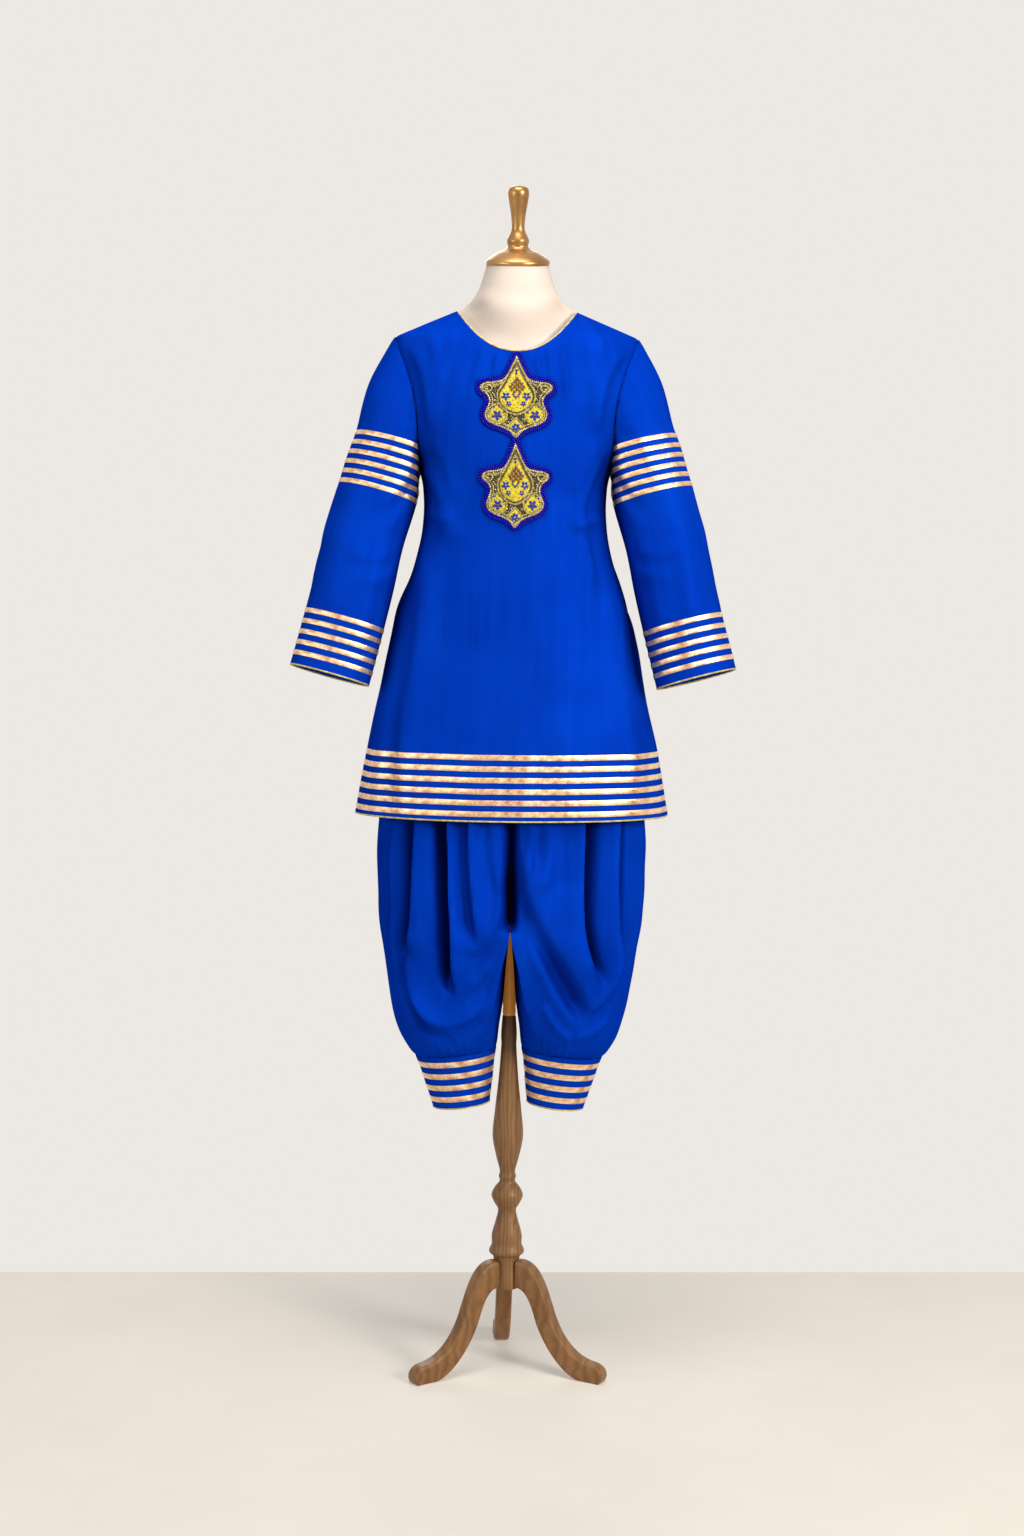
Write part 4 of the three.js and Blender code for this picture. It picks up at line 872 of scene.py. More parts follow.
# Pleats and drapes of the front of each leg: a path in x and z, height, outer and inner side.
LEG_FRONT_FOLDS = {
    "left": [
        ([(84, 770), (85, 700), (84, 640), (84, 570), (92, 520), (108, 488)], 12.0, 4, 23),
        ([(116, 770), (125, 720), (126, 640), (127, 570), (126, 510), (116, 470)], 9.0, 4.5, 17),
        ([(40, 770), (44, 700), (43, 650), (34, 604)], 7.0, 9, 9),
        ([(22, 760), (24, 700), (20, 650), (12, 616)], 5.0, 6, 7),
        ([(8, 672), (24, 606), (44, 562), (66, 520), (86, 484), (100, 458)], 10.0, 22, 6),
        ([(140, 556), (134, 516), (112, 478), (84, 462)], 5.0, 5, 16),
        ([(20, 590), (32, 520), (54, 468), (82, 438)], 4.5, 9, 10),
        ([(124, 456), (98, 436), (62, 430)], 3.2, 5, 9),
        ([(26, 474), (42, 444), (68, 424)], 3.0, 6, 6),
    ],
    "right": [
        ([(110, 770), (111, 700), (113, 640), (116, 570), (122, 515)], 11.0, 4.5, 22),
        ([(70, 770), (72, 700), (71, 640), (68, 570), (62, 510), (54, 474)], 13.0, 4, 19),
        ([(46, 760), (47, 700), (46, 650), (42, 590), (34, 540)], 8.0, 4.5, 13),
        ([(136, 770), (142, 700), (145, 640), (144, 570), (138, 500), (124, 440)], 5.0, 6, 15),
        ([(20, 760), (22, 700), (18, 640), (10, 600)], 3.5, 5, 9),
        ([(126, 540), (116, 484), (96, 455), (60, 446), (30, 456), (11, 474)], 6.5, 5, 18),
        ([(115, 486), (98, 458), (80, 442), (48, 432)], 4.0, 5, 10),
        ([(3, 604), (22, 562), (48, 530)], 4.0, 9, 6),
        ([(6, 566), (20, 520), (40, 486)], 3.5, 8, 6),
    ],
}
# The same for the sides and the back, with the path in degrees round from the front and z.
LEG_BACK_FOLDS = [
    ([(76, 930), (78, 800), (79, 640), (78, 520), (80, 418)], 3.5, 7, 14),
    ([(91, 930), (92, 780), (93, 640), (92, 520), (92, 418)], 4.0, 6, 15),
    ([(107, 930), (108, 780), (109, 650), (109, 540), (108, 430)], 5.0, 5, 16),
    ([(124, 910), (125, 780), (126, 640), (132, 520)], 8.0, 5, 17),
    ([(139, 910), (140, 780), (141, 650), (140, 560)], 6.5, 5, 14),
    ([(154, 910), (154, 780), (156, 640), (150, 530)], 7.5, 5, 15),
    ([(167, 910), (168, 780), (168, 660), (163, 590)], 5.0, 4, 11),
    ([(106, 548), (112, 490), (126, 458), (148, 462)], 5.0, 7, 15),
    ([(104, 470), (122, 442), (148, 436)], 3.6, 5, 10),
    ([(176, 610), (162, 560), (146, 500), (134, 462)], 6.0, 8, 14),
    ([(58, 600), (54, 520), (46, 470)], 3.0, 10, 12),
]


def leg_grid():
    outer = np.linspace(0, LEG_COLUMNS, LEG_OUTER_MESH)
    inner = np.linspace(LEG_COLUMNS, LEG_COLUMNS + LEG_INNER_COLUMNS, LEG_INNER_MESH)[1:-1]
    heights = two_runs(LEG["z"][-1], CROTCH_Z, LEG["z"][0], LEG_UPPER_ROWS, LEG_LOWER_ROWS)
    column = np.broadcast_to(np.concatenate([outer, inner]), (len(heights), len(outer) + len(inner)))
    row = {name: table_at(LEG, name, heights)[:, None] for name in LEG if name != "z"}
    is_outer = column <= LEG_COLUMNS
    share = column / LEG_COLUMNS
    lap = (column - LEG_COLUMNS) / LEG_INNER_COLUMNS
    angle = np.where(is_outer, np.pi * (share - 0.5), 0)
    turn = np.radians(np.where(is_outer, 260 * (share - 0.5), 130 + 100 * lap))
    reach, middle = (row["outer"] - row["inner"]) / 2, (row["outer"] + row["inner"]) / 2
    open_x = np.where(is_outer, row["inner"] + (row["outer"] - row["inner"]) * np.cos(angle), row["inner"])
    open_y = np.where(is_outer, row["depth"] * np.sin(angle), row["depth"] * (1 - 2 * lap))
    x = lerp(open_x, middle + reach * np.cos(turn), row["oval"])
    y = lerp(open_y, row["depth"] * np.sin(turn), row["oval"])
    z = np.broadcast_to(heights[:, None], x.shape)
    x = np.where(z <= CROTCH_Z, np.maximum(x, 11.8 - 0.45 * np.abs(y)), x)
    face_x = lerp(np.where(is_outer, np.cos(angle), -1), np.cos(turn), row["oval"])
    face_y = lerp(np.where(is_outer, np.sin(angle), 0), np.sin(turn), row["oval"])
    grid = stack(x, y, z + row["tilt"] * (65.5 - x))
    degrees = np.where(is_outer, 180 * share, 180 + 180 * lap)
    return grid, unit(stack(face_x, face_y, 0 * x)), degrees, heights, len(outer)


def leg_height(side, degrees, z):
    u = degrees * MM_PER_TURN
    height = np.zeros(u.shape)
    for path, rise, outer, inner in LEG_FRONT_FOLDS[side]:
        widths = table_at(LEG, "outer", np.array([spot[1] for spot in path], float))
        across = [math.degrees(math.asin(min(spot[0] / width, 0.995))) for spot, width in zip(path, widths)]
        there = [(angle * MM_PER_TURN, spot[1]) for angle, spot in zip(across, path)]
        undercut = 1.0 if min(outer, inner) < 5 else 0.55
        height += fold(u, z, there, PLEAT_GAIN * rise, outer, inner, 0.16, undercut) * smooth(76, 62, degrees)
    slide = 0 if side == "left" else 5
    for k, (path, rise, before, after) in enumerate(LEG_BACK_FOLDS):
        there = [((angle + slide) * MM_PER_TURN, spot_z - 4 * slide) for angle, spot_z in path]
        height += fold(u, z, there, rise * (1 + 0.14 * math.sin(2.3 * k + slide)), before, after, 0.3, 0.4)
    seam = smooth(0, 7, degrees) * smooth(0, 6, 180 - degrees)
    height = (height - 4.0 * smooth(420, 560, z) * smooth(940, 820, z)) * seam
    groove = np.minimum(degrees, np.abs(180 - degrees))
    above = smooth(604, 646, z)
    groove_depth = lerp(*GROOVE_DEPTHS, above) * smooth(554, 580, z) * smooth(735, 695, z)
    groove_width = lerp(*GROOVE_WIDTHS, above)
    height -= groove_depth * bell(groove, groove_width) * (degrees < 190)
    height += ripples(u, z, LEG_SEEDS[side], 8, 30, 110, 0.5) * seam
    gathers = np.sin(u / 2.6 + 2 * np.sin(u / 31)) * smooth(432, 404, z) * 0.9
    return height * smooth(399, 426, z) + gathers * smooth(400, 405, z)


def build_leg(side):
    grid, directions, degrees, heights, outer = leg_grid()
    z = np.broadcast_to(heights[:, None], degrees.shape)
    grid = grid + directions * leg_height(side, degrees, z)[..., None]
    grid[..., 0] = np.maximum(grid[..., 0], HALF_CROTCH_SEAM)
    grid = mirrored(grid, side)
    rows, columns = grid.shape[:2]
    faces = grid_faces(rows, columns, True)
    above = faces[:, 0] // columns < int(np.argmin(np.abs(heights - CROTCH_Z)))
    inside = (faces % columns >= outer).any(1)
    faces = faces[~(above & inside)]
    shell = walled_grid(grid, grid_normals(grid, True), faces, CLOTH_WALL)
    own_side = 1 if side == "left" else -1
    shell[0][:, 0] = own_side * np.maximum(own_side * shell[0][:, 0], HALF_CROTCH_SEAM)
    build = Build(f"{side}_trouser").add_shell(compact(*shell), CLOTH)
    return build.finish("cloth", [f"trouser_leg_{side}"])


def cuff_grid(side):
    axis = CUFF_BOTTOM - CUFF_TOP
    length = np.linalg.norm(axis)
    axis = axis / length
    across = np.array((-axis[2], 0, axis[0]))
    turn = full_turn(CUFF_COLUMNS)
    share = np.linspace(0, 1, CUFF_ROWS)[:, None]
    width, depth = lerp(*CUFF_WIDTHS, share), lerp(*CUFF_DEPTHS, share)
    centre = CUFF_TOP + axis * (0.3 + (length - 0.3) * share)[..., None]
    out, over = width * np.cos(turn), depth * np.sin(turn)
    grid = centre - across * out[..., None] - np.array((0, 1, 0)) * over[..., None]
    normals = grid_normals(grid, True)
    u, v = np.meshgrid(turn * CUFF_RADIUS, np.linspace(0, length, CUFF_ROWS))
    height = ripples(u, v, CUFF_SEEDS[side], 6, 30, 90, 0.35) * np.sin(np.pi * share)
    height += 0.5 * np.sin(u / 2.9) * bell(v, 5) + 0.7 * bell(v - 3, 5)
    grid = grid + normals * height[..., None]
    down = (grid - CUFF_TOP) @ axis
    return mirrored(grid, side), down, mirrored(axis, side)


def build_cuff(side):
    grid, down, axis = cuff_grid(side)
    normals = grid_normals(grid, True)
    cuff = cloth_piece(f"{side}_leg_cuff", grid, normals, True, [f"leg_cuff_{side}"])
    trims = ribbons(f"leg_{side}_ribbon", grid, normals, down, LEG_RIBBONS)
    trims.append(piping(f"{side}_leg_cord", grid[-1], normals[-1], axis, f"leg_{side}_piping"))


def build_waistband():
    turn = full_turn(CASING_COLUMNS)
    z = np.linspace(CASING_TOP, CASING_BOTTOM, CASING_ROWS)[:, None]
    share = np.linspace(0, 1, CASING_ROWS)[:, None]
    grid = stack(CASING_WIDTH * np.cos(turn), CASING_DEPTH * np.sin(turn), z)
    gathers = 0.9 * np.sin(turn * 74 + 1.4 * np.sin(turn * 9)) * np.sin(np.pi * share) ** 0.5
    rows_of_elastic = 0.4 * np.sin(share * np.pi * 5) ** 2
    grid = grid + grid_normals(grid, True) * (gathers - rows_of_elastic)[..., None]
    return cloth_piece("waist_casing", grid, grid_normals(grid, True), True, ["waistband"])


# ---- dress form --------------------------------------------------------------------------
# Rings of the torso: height, half width, depth in front and behind.
TORSO = [
    (640, 78, 52, 52), (700, 94, 60, 62), (780, 98, 64, 67), (860, 95, 62, 64), (915, 92, 59, 60),
    (955, 92, 60, 60), (990, 92, 60, 60), (1045, 96, 66, 65), (1095, 104, 77, 76), (1125, 112, 77, 78),
    (1160, 126, 75, 80), (1200, 136, 70.5, 77), (1235, 141, 62, 71), (1255, 140, 52, 63),
]
SHOULDER_SHARES = np.linspace(0.05, 0.83, 5)
# Rings of the neck: height, half width, half depth, tilt, how steep the flare falls, its round core.
NECK = [
    (1297, 76, 50, 0, 0.32, 54), (1300, 72, 50, 0, 0.5, 53.5), (1303, 67.5, 49.7, 0, 0.9, 53),
    (1306.5, 63, 49.2, 0.01, 1.4, 52), (1311, 58.8, 48, 0.02, 2, 50.5), (1317, 54, 46.4, 0.04, 1000, 0),
    (1327, 47.4, 44, 0.08, 1000, 0), (1343.5, 41.9, 40.5, 0.12, 1000, 0), (1358, 37.6, 37.6, 0.158, 1000, 0),
]
NECK_TOP_Z, CHEST_Z, NECK_TILT = 1358, 1240, math.atan(0.158)


def torso_ring(turn, z, width, front, back, tilt=0.0, slope=1000.0, root=0.0):
    x = width * np.cos(turn)
    round_depth = np.where(turn > np.pi, front, back) * np.abs(np.sin(turn))
    tent = np.minimum(round_depth, slope * (width - np.abs(x)))
    depth = np.maximum(tent, np.sqrt(np.maximum(root * root - x * x, 0)))
    y = np.where(turn > np.pi, -depth, depth)
    return stack(x, y, z + tilt * y)


def relaxed(grid, passes):
    """Rounds off a closed grid, apart from its first and last rows."""
    for _ in range(passes):
        around = (np.roll(grid, 1, 1) + np.roll(grid, -1, 1)) / 2
        grid = grid.copy()
        grid[1:-1] = 0.5 * grid[1:-1] + 0.25 * around[1:-1] + 0.125 * (grid[2:] + grid[:-2])
    return grid


def build_form():
    turn = full_turn(FORM_COLUMNS)
    rings = [torso_ring(turn, *row) for row in TORSO]
    for share in SHOULDER_SHARES:
        z = lerp(SHOULDER_TIP[1], SHOULDER_NECK[1], share)
        front, back = (float(table_at(BODY, side, np.array([z]))[0]) * 0.75 for side in ("front", "back"))
        width = lerp(SHOULDER_TIP[0], SHOULDER_NECK[0], share)
        rings.append(torso_ring(turn, z - 2.6, width, front, back, 0, 0.32, 54))
    for z, width, depth, tilt, slope, core in NECK:
        rings.append(torso_ring(turn, z, width, depth, depth, tilt, slope, core))
    rings = np.stack(rings)
    knots = rings[..., 2].mean(1)
    heights = two_runs(knots[0], CHEST_Z, knots[-1], TORSO_ROWS, SHOULDER_ROWS)
    grid = relaxed(spline(knots, rings, heights), FORM_PASSES)
    normals = grid_normals(grid, True)
    seam_z = 1300 + 6 * np.sin(turn)[None, :]
    groove = 0.08 * bell(grid[..., 2] - seam_z, 1.1)
    side_seam = 0.4 * bell(grid[..., 1], 1.5) * smooth(1290, 1270, grid[..., 2])
    grid = grid - normals * (groove + side_seam)[..., None]
    return Build("form_body").add_solid(grid, JERSEY, flip=True).finish("form", ["form_torso"])


def turned_piece(name, profile, look, slot, nodes, segments=56, per_step=6, tilt=0.0, lift=0.0):
    """A turned piece: a profile of radii and heights, rounded and spun."""
    dense = dense_path(profile, per_step * len(profile))
    turn = full_turn(segments)
    x, y, z = dense[:, :1] * np.cos(turn), dense[:, :1] * np.sin(turn), dense[:, 1:] + 0 * turn
    c, s = math.cos(tilt), math.sin(tilt)
    return Build(name).add_solid(stack(x, y * c - z * s, y * s + z * c + lift), look).finish(slot, nodes)


CAP_PROFILE = [
    (37.9, 0.3), (38.6, 2.5), (37.6, 6), (26, 14), (12.8, 21), (13.5, 29), (12, 33), (8.1, 42), (8.6, 56),
    (11.8, 76), (12.8, 86), (10.5, 91), (5, 93.2),
]
COLUMN_PROFILE = [
    (12, 100), (16.5, 103), (16.5, 141), (21.5, 146), (21.5, 150), (18.7, 156), (18.7, 168), (14, 186),
    (11.2, 200), (15.5, 208), (19.5, 218), (15.5, 228), (9.5, 236), (10.7, 242), (9.4, 248), (14, 266),
    (19, 293), (16.4, 325), (12.5, 362), (9.3, 406.7), (9.6, 415), (9.6, 424), (8.2, 443.7),
]
POLE_PROFILE = [
    (7.4, 444), (8, 445), (8, 452), (7.7, 453), (7.7, 455), (8, 456), (8, 560), (8, 636), (7.4, 639.7),
]


# Where each leg of the stand heads, in degrees, and how thick and how square its board is.
STAND_LEGS = {"stand_leg_rear": 93, "stand_leg_left": -27, "stand_leg_right": 213}
HALF_BOARD, BOARD_POWER = 10.0, 0.32


def bezier(points, count):
    t = np.linspace(0, 1, count)[:, None]
    a, b, c, d = (np.asarray(point, float) for point in points)
    return (1 - t) ** 3 * a + 3 * (1 - t) ** 2 * t * b + 3 * (1 - t) * t * t * c + t ** 3 * d


def build_stand_leg(name, heading):
    """A sawn board with rounded edges: an S curve from the hub to a flat foot."""
    upper = np.concatenate([bezier([(16.9, 138), (42, 140), (52, 112), (62, 84)], 14),
                            bezier([(62, 84), (72, 52), (92, 26), (122, 23)], 14)[1:],
                            bezier([(122, 23), (136, 21), (140, 8), (132.5, 0.6)], 12)[1:]])
    lower = np.concatenate([bezier([(16.9, 104), (32, 103), (38, 86), (46, 62)], 14),
                            bezier([(46, 62), (60, 30), (84, 4), (104, 0)], 14)[1:],
                            np.linspace((104, 0), (132, 0), 12)[1:]])
    middle, half = (upper + lower) / 2, (upper - lower) / 2
    turn = full_turn(40)
    across, rise = (np.sign(wave) * np.abs(wave) ** BOARD_POWER for wave in (np.cos(turn), np.sin(turn)))
    out = middle[:, :1] + half[:, :1] * rise
    up = middle[:, 1:] + half[:, 1:] * rise
    side = np.broadcast_to(HALF_BOARD * across, out.shape)
    c, s = math.cos(math.radians(heading)), math.sin(math.radians(heading))
    grid = stack(out * c - side * s, out * s + side * c, up)
    return Build(f"{name}_board").add_solid(grid, LEG_WOOD, flip=True).finish("wood", [name])


# ---- embroidered patches -------------------------------------------------------------------
# Each patch: height of its tip, its scale across and its scale down.
PATCHES = {"upper": (1247.5, 1.0, 0.975), "lower": (1144.5, 0.915, 1.0)}
PATCH_HALVES = [
    (2.8, 0), (7, 9), (12, 20), (18, 28.5), (27, 31), (37, 32.5), (44.5, 36), (47, 42), (44.5, 49),
    (38, 54), (36, 59), (38.5, 66), (41, 74), (38.5, 83), (30, 90), (18, 94.5), (9, 99), (2.4, 104),
]
PATCH_LENGTH, BACKING_WALL = 104, 1.1
DROP_SHAPE = [(0, 10), (7.5, 23), (15, 37), (22, 50), (20, 62), (11, 71), (0, 75)]
DIAMOND_SHAPE = [(0, 79), (5, 84), (9.5, 90), (5, 97), (0, 102)]
LOBE_SHAPE = [(13, 66), (21, 62), (31, 67), (33, 76), (28, 84), (18, 86), (11, 79)]


def closed_curve(points, count):
    points = np.asarray(points, float)
    around = np.concatenate([points[-2:], points, points[:3]])
    knots = reach_along(around)
    at = np.linspace(knots[2], knots[2 + len(points)], count, endpoint=False)
    return spline(knots, around, at)


def both_halves(points):
    """A symmetric closed outline from its right half, listed from the top."""
    points = np.asarray(points, float)
    other = points[::-1] * (-1, 1)
    return np.concatenate([points, other[np.abs(other[:, 0]) > 0.01]])


def inset(curve, distance):
    """The curve moved inwards, without the places where it would cross itself."""
    ahead = unit(np.roll(curve, -2, 0) - np.roll(curve, 2, 0))
    inward = np.stack([-ahead[:, 1], ahead[:, 0]], -1)
    if (inward * (curve.mean(0) - curve)).sum() < 0:
        inward = -inward
    moved = curve + inward * distance
    gaps = np.linalg.norm(moved[:, None] - curve[None], axis=-1).min(1)
    return moved[gaps >= abs(distance) * 0.94]


def along_curve(curve, spacing):
    """Spots at an even distance along a closed curve."""
    loop = np.concatenate([curve, curve[:1]])
    reach = reach_along(loop)
    at = np.linspace(0, reach[-1], max(int(reach[-1] / spacing), 3), endpoint=False)
    return np.stack([np.interp(at, reach, loop[:, k]) for k in (0, 1)], -1)


def inside(curve, spots):
    """Which spots lie inside a closed curve."""
    x, y = spots[:, 0][:, None], spots[:, 1][:, None]
    ax, ay = curve[:, 0], curve[:, 1]
    bx, by = np.roll(ax, -1), np.roll(ay, -1)
    crosses = (ay > y) != (by > y)
    at = ax + (y - ay) / np.where(by == ay, 1e-9, by - ay) * (bx - ax)
    return (crosses & (x < at)).sum(1) % 2 == 1


def sown(random, outline, holes, spacing):
    """Spots strewn inside an outline, none in the holes and none too close to another."""
    spots = random.uniform(outline.min(0), outline.max(0), (1600, 2))
    spots = spots[inside(outline, spots)]
    for hole in holes:
        spots = spots[~inside(hole, spots)]
    kept = []
    for spot in spots:
        if all(abs(spot[0] - x) + abs(spot[1] - y) > spacing for x, y in kept):
            kept.append(spot)
    return np.array(kept)


class Patch:
    """One patch on the chest: everything is placed by its distance across and below the tip."""

    def __init__(self, name, top, across, down):
        self.build, self.top, self.across, self.down = Build(name), top, across, down
        turns = full_turn(8)
        slopes = np.linspace(-np.pi / 2, np.pi / 2, 6)[1:-1]
        slope, around = (part.ravel() for part in np.meshgrid(slopes, turns, indexing="ij"))
        rings = stack(np.cos(around) * np.cos(slope), np.sin(slope), np.sin(around) * np.cos(slope))
        self.ball = np.concatenate([rings, [(0, -1, 0), (0, 1, 0)]])
        ends = [(32, (k + 1) % 8, k) for k in range(8)] + [(33, 24 + k, 24 + (k + 1) % 8) for k in range(8)]
        self.ball_faces = [tuple(face) for face in grid_faces(4, 8, True)] + ends

    def place(self, spots, lift):
        spots = np.atleast_2d(np.asarray(spots, float))
        x, z = spots[:, 0] * self.across, self.top - spots[:, 1] * self.down
        base = body_point(x, z, "front")
        beside = body_point(x + 1, z, "front") - body_point(x - 1, z, "front")
        above = body_point(x, z + 1, "front") - body_point(x, z - 1, "front")
        normals = unit(np.cross(beside, above))
        return base + normals * np.broadcast_to(lift, (len(spots),))[:, None], normals

    def beads(self, spots, radius, look, lift=1.3, long=1.0, turns=None):
        centres = self.place(spots, lift)[0]
        sizes = np.broadcast_to(radius, (len(centres),))
        for k, centre in enumerate(centres):
            shape = self.ball * sizes[k] * (long, 0.8, 1.0)
            if turns is not None:
                c, s = math.cos(turns[k]), math.sin(turns[k])
                x, y, z = shape.T
                shape = np.stack([x * c - z * s, y, x * s + z * c], -1)
            self.build.add(centre + shape, self.ball_faces, look)

    def cord(self, curve, radius, look, lift=1.5, closed=True):
        path, normals = self.place(curve, lift)
        points, faces = tube(path, radius, 8, closed, twist=2.6, lobes=2, depth=0.2, up=normals)
        self.build.add(points, faces, look)

    def dome(self, outline, height, look, lift=1.2, ridges=0, rings=7):
        """A filled area of thread, crowned in the middle, with its stitches as low ridges."""
        outline = np.asarray(outline, float)
        centre, count = outline.mean(0), len(outline)
        turn = full_turn(count)
        points = [self.place(outline, 0.3)[0]]
        for ring in range(rings):
            share = 1 - ring / rings
            ripple = 0.16 * np.sin(ridges * turn) * math.sin(math.pi * share)
            rise = height * math.sqrt(1 - share * share) + ripple
            points.append(self.place(centre + (outline - centre) * share, lift + rise)[0])
        points.append(self.place(centre, lift + height)[0])
        faces = [tuple(face) for face in grid_faces(rings + 1, count, True)]
        last, tip = rings * count, (rings + 1) * count
        faces += [(last + k, last + (k + 1) % count, tip) for k in range(count)]
        faces.append(tuple(range(count))[::-1])
        self.build.add(np.concatenate(points), faces, look)

    def flower(self, centre, radius, petals, look, heart):
        turn = full_turn(12)
        for k in range(petals):
            angle = 2 * np.pi * (k + 0.25) / petals
            out = np.array((math.cos(angle), math.sin(angle)))
            side = np.array((-out[1], out[0]))
            petal = np.cos(turn)[:, None] * out * 0.46 + np.sin(turn)[:, None] * side * 0.32
            self.dome(np.asarray(centre) + radius * (0.55 * out + petal), 0.9, look, 1.9, 0, 4)
        self.beads([centre], 0.16 * radius + 0.35, heart, 2.7)

    def base(self):
        """The stiff backing that all the work is sewn on."""
        rows, columns = 90, 41
        drops = np.linspace(0, PATCH_LENGTH, rows)
        halves = np.array(PATCH_HALVES)
        half = spline(halves[:, 1], halves[:, 0], drops) - 0.6
        across = np.linspace(-1, 1, columns)
        spots = np.stack(np.broadcast_arrays(half[:, None] * across, drops[:, None]), -1).reshape(-1, 2)
        edge = np.broadcast_to(1 - np.abs(across) ** 8, (rows, columns)).ravel()
        points, normals = self.place(spots, 0.7 + 0.5 * edge)
        faces = grid_faces(rows, columns, False)
        self.build.add_shell(walled(points, normals, faces, BACKING_WALL, spots), FELT)


def flower_bud(patch, centre):
    """A bud of overlapping long beads, row over row."""
    spots, turns = [], []
    for row, (count, spread) in enumerate(((1, 0), (2, 2.8), (3, 5.2), (4, 7.4), (3, 6.0), (2, 3.2))):
        for k in range(count):
            side = 0 if count == 1 else spread * (2 * k / (count - 1) - 1)
            spots.append((centre[0] + side, centre[1] - 8 + 3.1 * row))
            turns.append(math.pi / 2 + 0.12 * side)
    patch.beads(spots, 1.75, MAROON_THREAD, 2.5, 1.5, turns)
    patch.beads([(x, y - 1.5) for x, y in spots[1:]], 0.6, GOLD_BEAD, 3.3)


def scroll(patch, sign):
    """A curl of cord in the upper lobe, with a row of beads round it."""
    turn = np.linspace(0.15, 3.6 * np.pi, 70)
    radius = 8.2 - 6.2 * turn / turn[-1]
    curl = np.stack([sign * (33.5 - radius * np.cos(turn)), 43 - 0.86 * radius * np.sin(turn)], -1)
    stem = np.array([(sign * 15, 33), (sign * 19, 37.5), (sign * 22.5, 40.5)])
    patch.cord(np.concatenate([stem, curl]), 1.05, GOLD_CORD, 1.9, False)
    patch.beads(curl[6:40:3] + (sign * 0.3, 0), 0.75, GOLD_BEAD, 2.6)


def build_patch(name):
    patch = Patch(f"{name}_embroidery", *PATCHES[name])
    random = np.random.default_rng(PATCH_SEED)
    border = closed_curve(both_halves(PATCH_HALVES), 420)
    drop = closed_curve(both_halves(DROP_SHAPE), 150)
    diamond = closed_curve(both_halves(DIAMOND_SHAPE), 70)
    lobes = [closed_curve(np.array(LOBE_SHAPE) * (sign, 1), 80) for sign in (1, -1)]
    patch.base()
    rows = ((0.0, 1.7, BLUE_BEAD), (2.7, 1.4, BLUE_BEAD), (5.2, 1.25, GOLD_BEAD), (7.3, 0.85, OLIVE_BEAD))
    for depth, radius, look in rows:
        patch.beads(along_curve(inset(border, depth), 1.9 * radius), radius, look, 1.3 + 0.08 * depth)
    patch.cord(inset(border, 8.6), 0.75, GOLD_CORD, 1.8)
    patch.dome(inset(drop, 1.2), 1.1, YELLOW_THREAD, 1.2, 46)
    patch.cord(inset(drop, -1.4), 0.6, DARK_CORD, 1.6)
    patch.cord(drop, 1.1, GOLD_CORD, 2.0)
    patch.cord(inset(drop, 2.2), 0.7, DARK_CORD, 2.2)
    flower_bud(patch, (1.0, 40))
    patch.beads([(0, 22), (0, 25.6)], 1.5, BLUE_BEAD, 2.6)
    for x, y, radius in ((-12, 53, 5.4), (12, 53, 5.4), (-8.5, 62, 3.6), (8.5, 62, 3.6)):
        patch.flower((x, y), radius, 5, BLUE_THREAD, GOLD_BEAD)
    patch.beads([(-3.6, 51), (-1.9, 53), (0, 54.4), (1.9, 53), (3.6, 51)], 1.15, BLUE_THREAD, 2.8)
    for sign, lobe in zip((1, -1), lobes):
        patch.dome(inset(lobe, 0.8), 1.0, YELLOW_THREAD, 1.2, 30)
        patch.cord(lobe, 1.1, GOLD_CORD, 1.9)
        patch.flower((sign * 22, 76), 6.6, 5, BLUE_THREAD, MAROON_THREAD)
        patch.beads([(sign * 14, 72), (sign * 30, 68), (sign * 26, 66)], 1.1, BLUE_THREAD, 2.6)
        scroll(patch, sign)
    patch.dome(inset(diamond, 0.6), 0.9, YELLOW_THREAD, 1.2, 24)
    patch.cord(diamond, 0.9, GOLD_CORD, 1.8)
    patch.flower((0, 90.5), 5.6, 6, BLUE_THREAD, GOLD_BEAD)
    filled = [drop, diamond, *lobes]
    free = sown(random, inset(border, 9.2), filled, 2.1)
    sizes = random.uniform(0.7, 1.15, len(free))
    bright = random.random(len(free)) < 0.55
    patch.beads(free[bright], sizes[bright], GOLD_BEAD, 1.6)
    patch.beads(free[~bright], sizes[~bright], OLIVE_BEAD, 1.4)
    for area in (drop, *lobes):
        patch.beads(sown(random, inset(area, 2.5), [], 4.2), 0.62, OLIVE_BEAD, 2.3)
    return patch.build.finish("embroidery", [f"patch_{name}"])


# ---- camera, floor and light ---------------------------------------------------------------
CAMERA_PLACE, CAMERA_DOWN, CAMERA_ROLL, LENS = (0, -3.013, 1.0), 4.76, 0.65, 57.6
FLOOR = [(-4, -4, 0), (4, -4, 0), (4, 0.55, 0), (-4, 0.24, 0)]
# Each light: its place and target in metres, its size, power and colour.
LIGHTS = {
    "key": ((2.2, -2.4, 1.7), (0, 0, 0.8), 1.1, 80, (1.0, 0.97, 0.93)),
    "fill": ((-2.5, -2.1, 1.3), (0, 0, 0.8), 1.6, 22, (0.97, 0.98, 1.0)),
    "top": ((0, -0.9, 3.2), (0, 0, 0.4), 1.8, 56, (1.0, 0.98, 0.95)),
    "back": ((-0.5, 3.0, 2.4), (0, 0, 0.9), 2.0, 32, (1.0, 1.0, 1.0)),
}


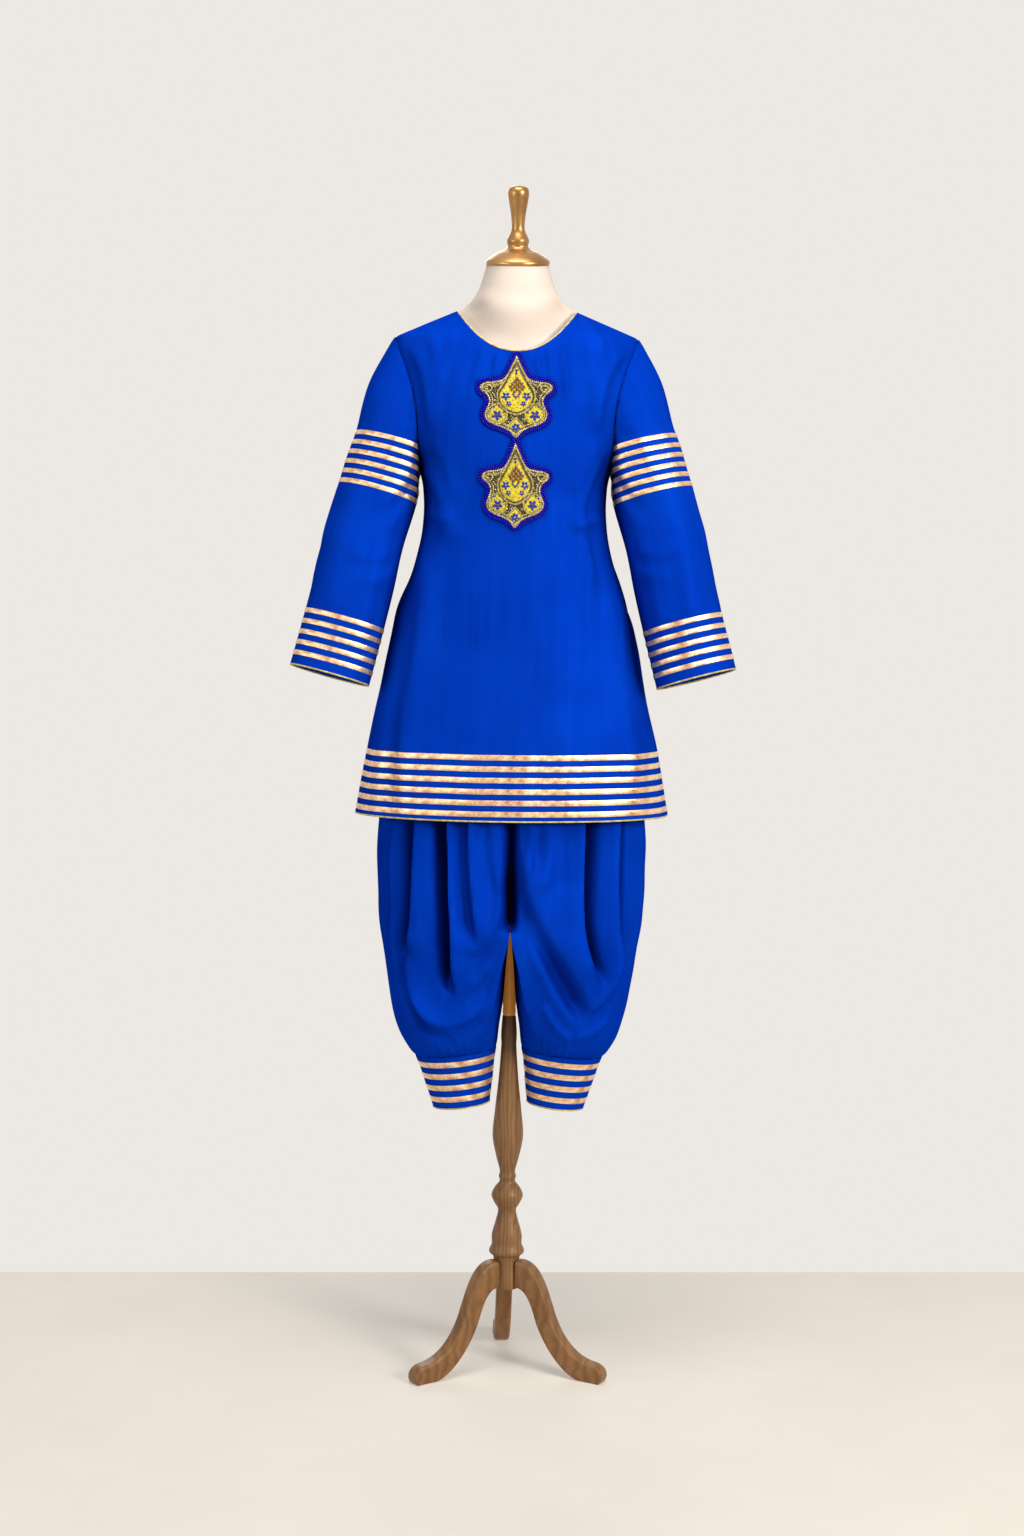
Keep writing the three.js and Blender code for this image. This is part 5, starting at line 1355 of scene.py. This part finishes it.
def build_stage():
    scene = bpy.context.scene
    camera_data = bpy.data.cameras.new("camera")
    camera_data.lens = LENS
    camera = bpy.data.objects.new("camera", camera_data)
    scene.collection.objects.link(camera)
    tilt = Matrix.Rotation(math.radians(90 - CAMERA_DOWN), 4, "X")
    roll = Matrix.Rotation(math.radians(CAMERA_ROLL), 4, "Z")
    camera.matrix_world = Matrix.Translation(CAMERA_PLACE) @ tilt @ roll
    scene.camera = camera

    mesh = bpy.data.meshes.new("floor")
    mesh.from_pydata(FLOOR, [], [(0, 1, 2, 3)])
    glow = {"Emission_Color": srgb(229, 222, 212), "Emission_Strength": 0.42}
    look = Look("floor", Roughness=0.7, Specular_IOR_Level=0.1, **glow)
    mottle = look.noise(look.place(), 5.0)
    look.colour(look.dye(mottle, (0.3, (190, 184, 175)), (0.7, (196, 190, 181))))
    look.bump((look.noise(look.place(), 220.0), 0.1))
    mesh.materials.append(look.material)
    floor = bpy.data.objects.new("floor", mesh)
    scene.collection.objects.link(floor)

    world = bpy.data.worlds.new("studio")
    scene.world = world
    world.use_nodes = True
    backdrop = world.node_tree.nodes["Background"].inputs
    backdrop["Color"].default_value, backdrop["Strength"].default_value = srgb(236, 232, 227), 1.0
    world.cycles_visibility.diffuse = False
    scene.view_settings.view_transform = "Standard"


def area_light(name, place, target, size, power, colour):
    data = bpy.data.lights.new(name, "AREA")
    data.shape, data.size, data.energy, data.color = "DISK", size, power, colour
    light = bpy.data.objects.new(name, data)
    bpy.context.scene.collection.objects.link(light)
    direction = Vector(target) - Vector(place)
    light.matrix_world = Matrix.Translation(place) @ direction.to_track_quat("-Z", "Y").to_matrix().to_4x4()


# ---- the whole object ----------------------------------------------------------------------
build_stage()
for light_name, light_plan in LIGHTS.items():
    area_light(light_name, *light_plan)

panels, panel_trims = build_kurta()
panel_trims += [build_patch(name) for name in PATCHES]
for part in SIDES:
    leg = build_leg(part)
    build_cuff(part)
waist = build_waistband()
build_form()
turned_piece("finial", CAP_PROFILE, BRASS, "cap", ["neck_cap"], tilt=NECK_TILT, lift=NECK_TOP_Z)
turned_piece("rod", POLE_PROFILE, BRONZE, "pole", ["pole"])
turned_piece("turned_column", COLUMN_PROFILE, TURNED_WOOD, "wood", ["column"], per_step=8)
for node, heading in STAND_LEGS.items():
    build_stand_leg(node, heading)
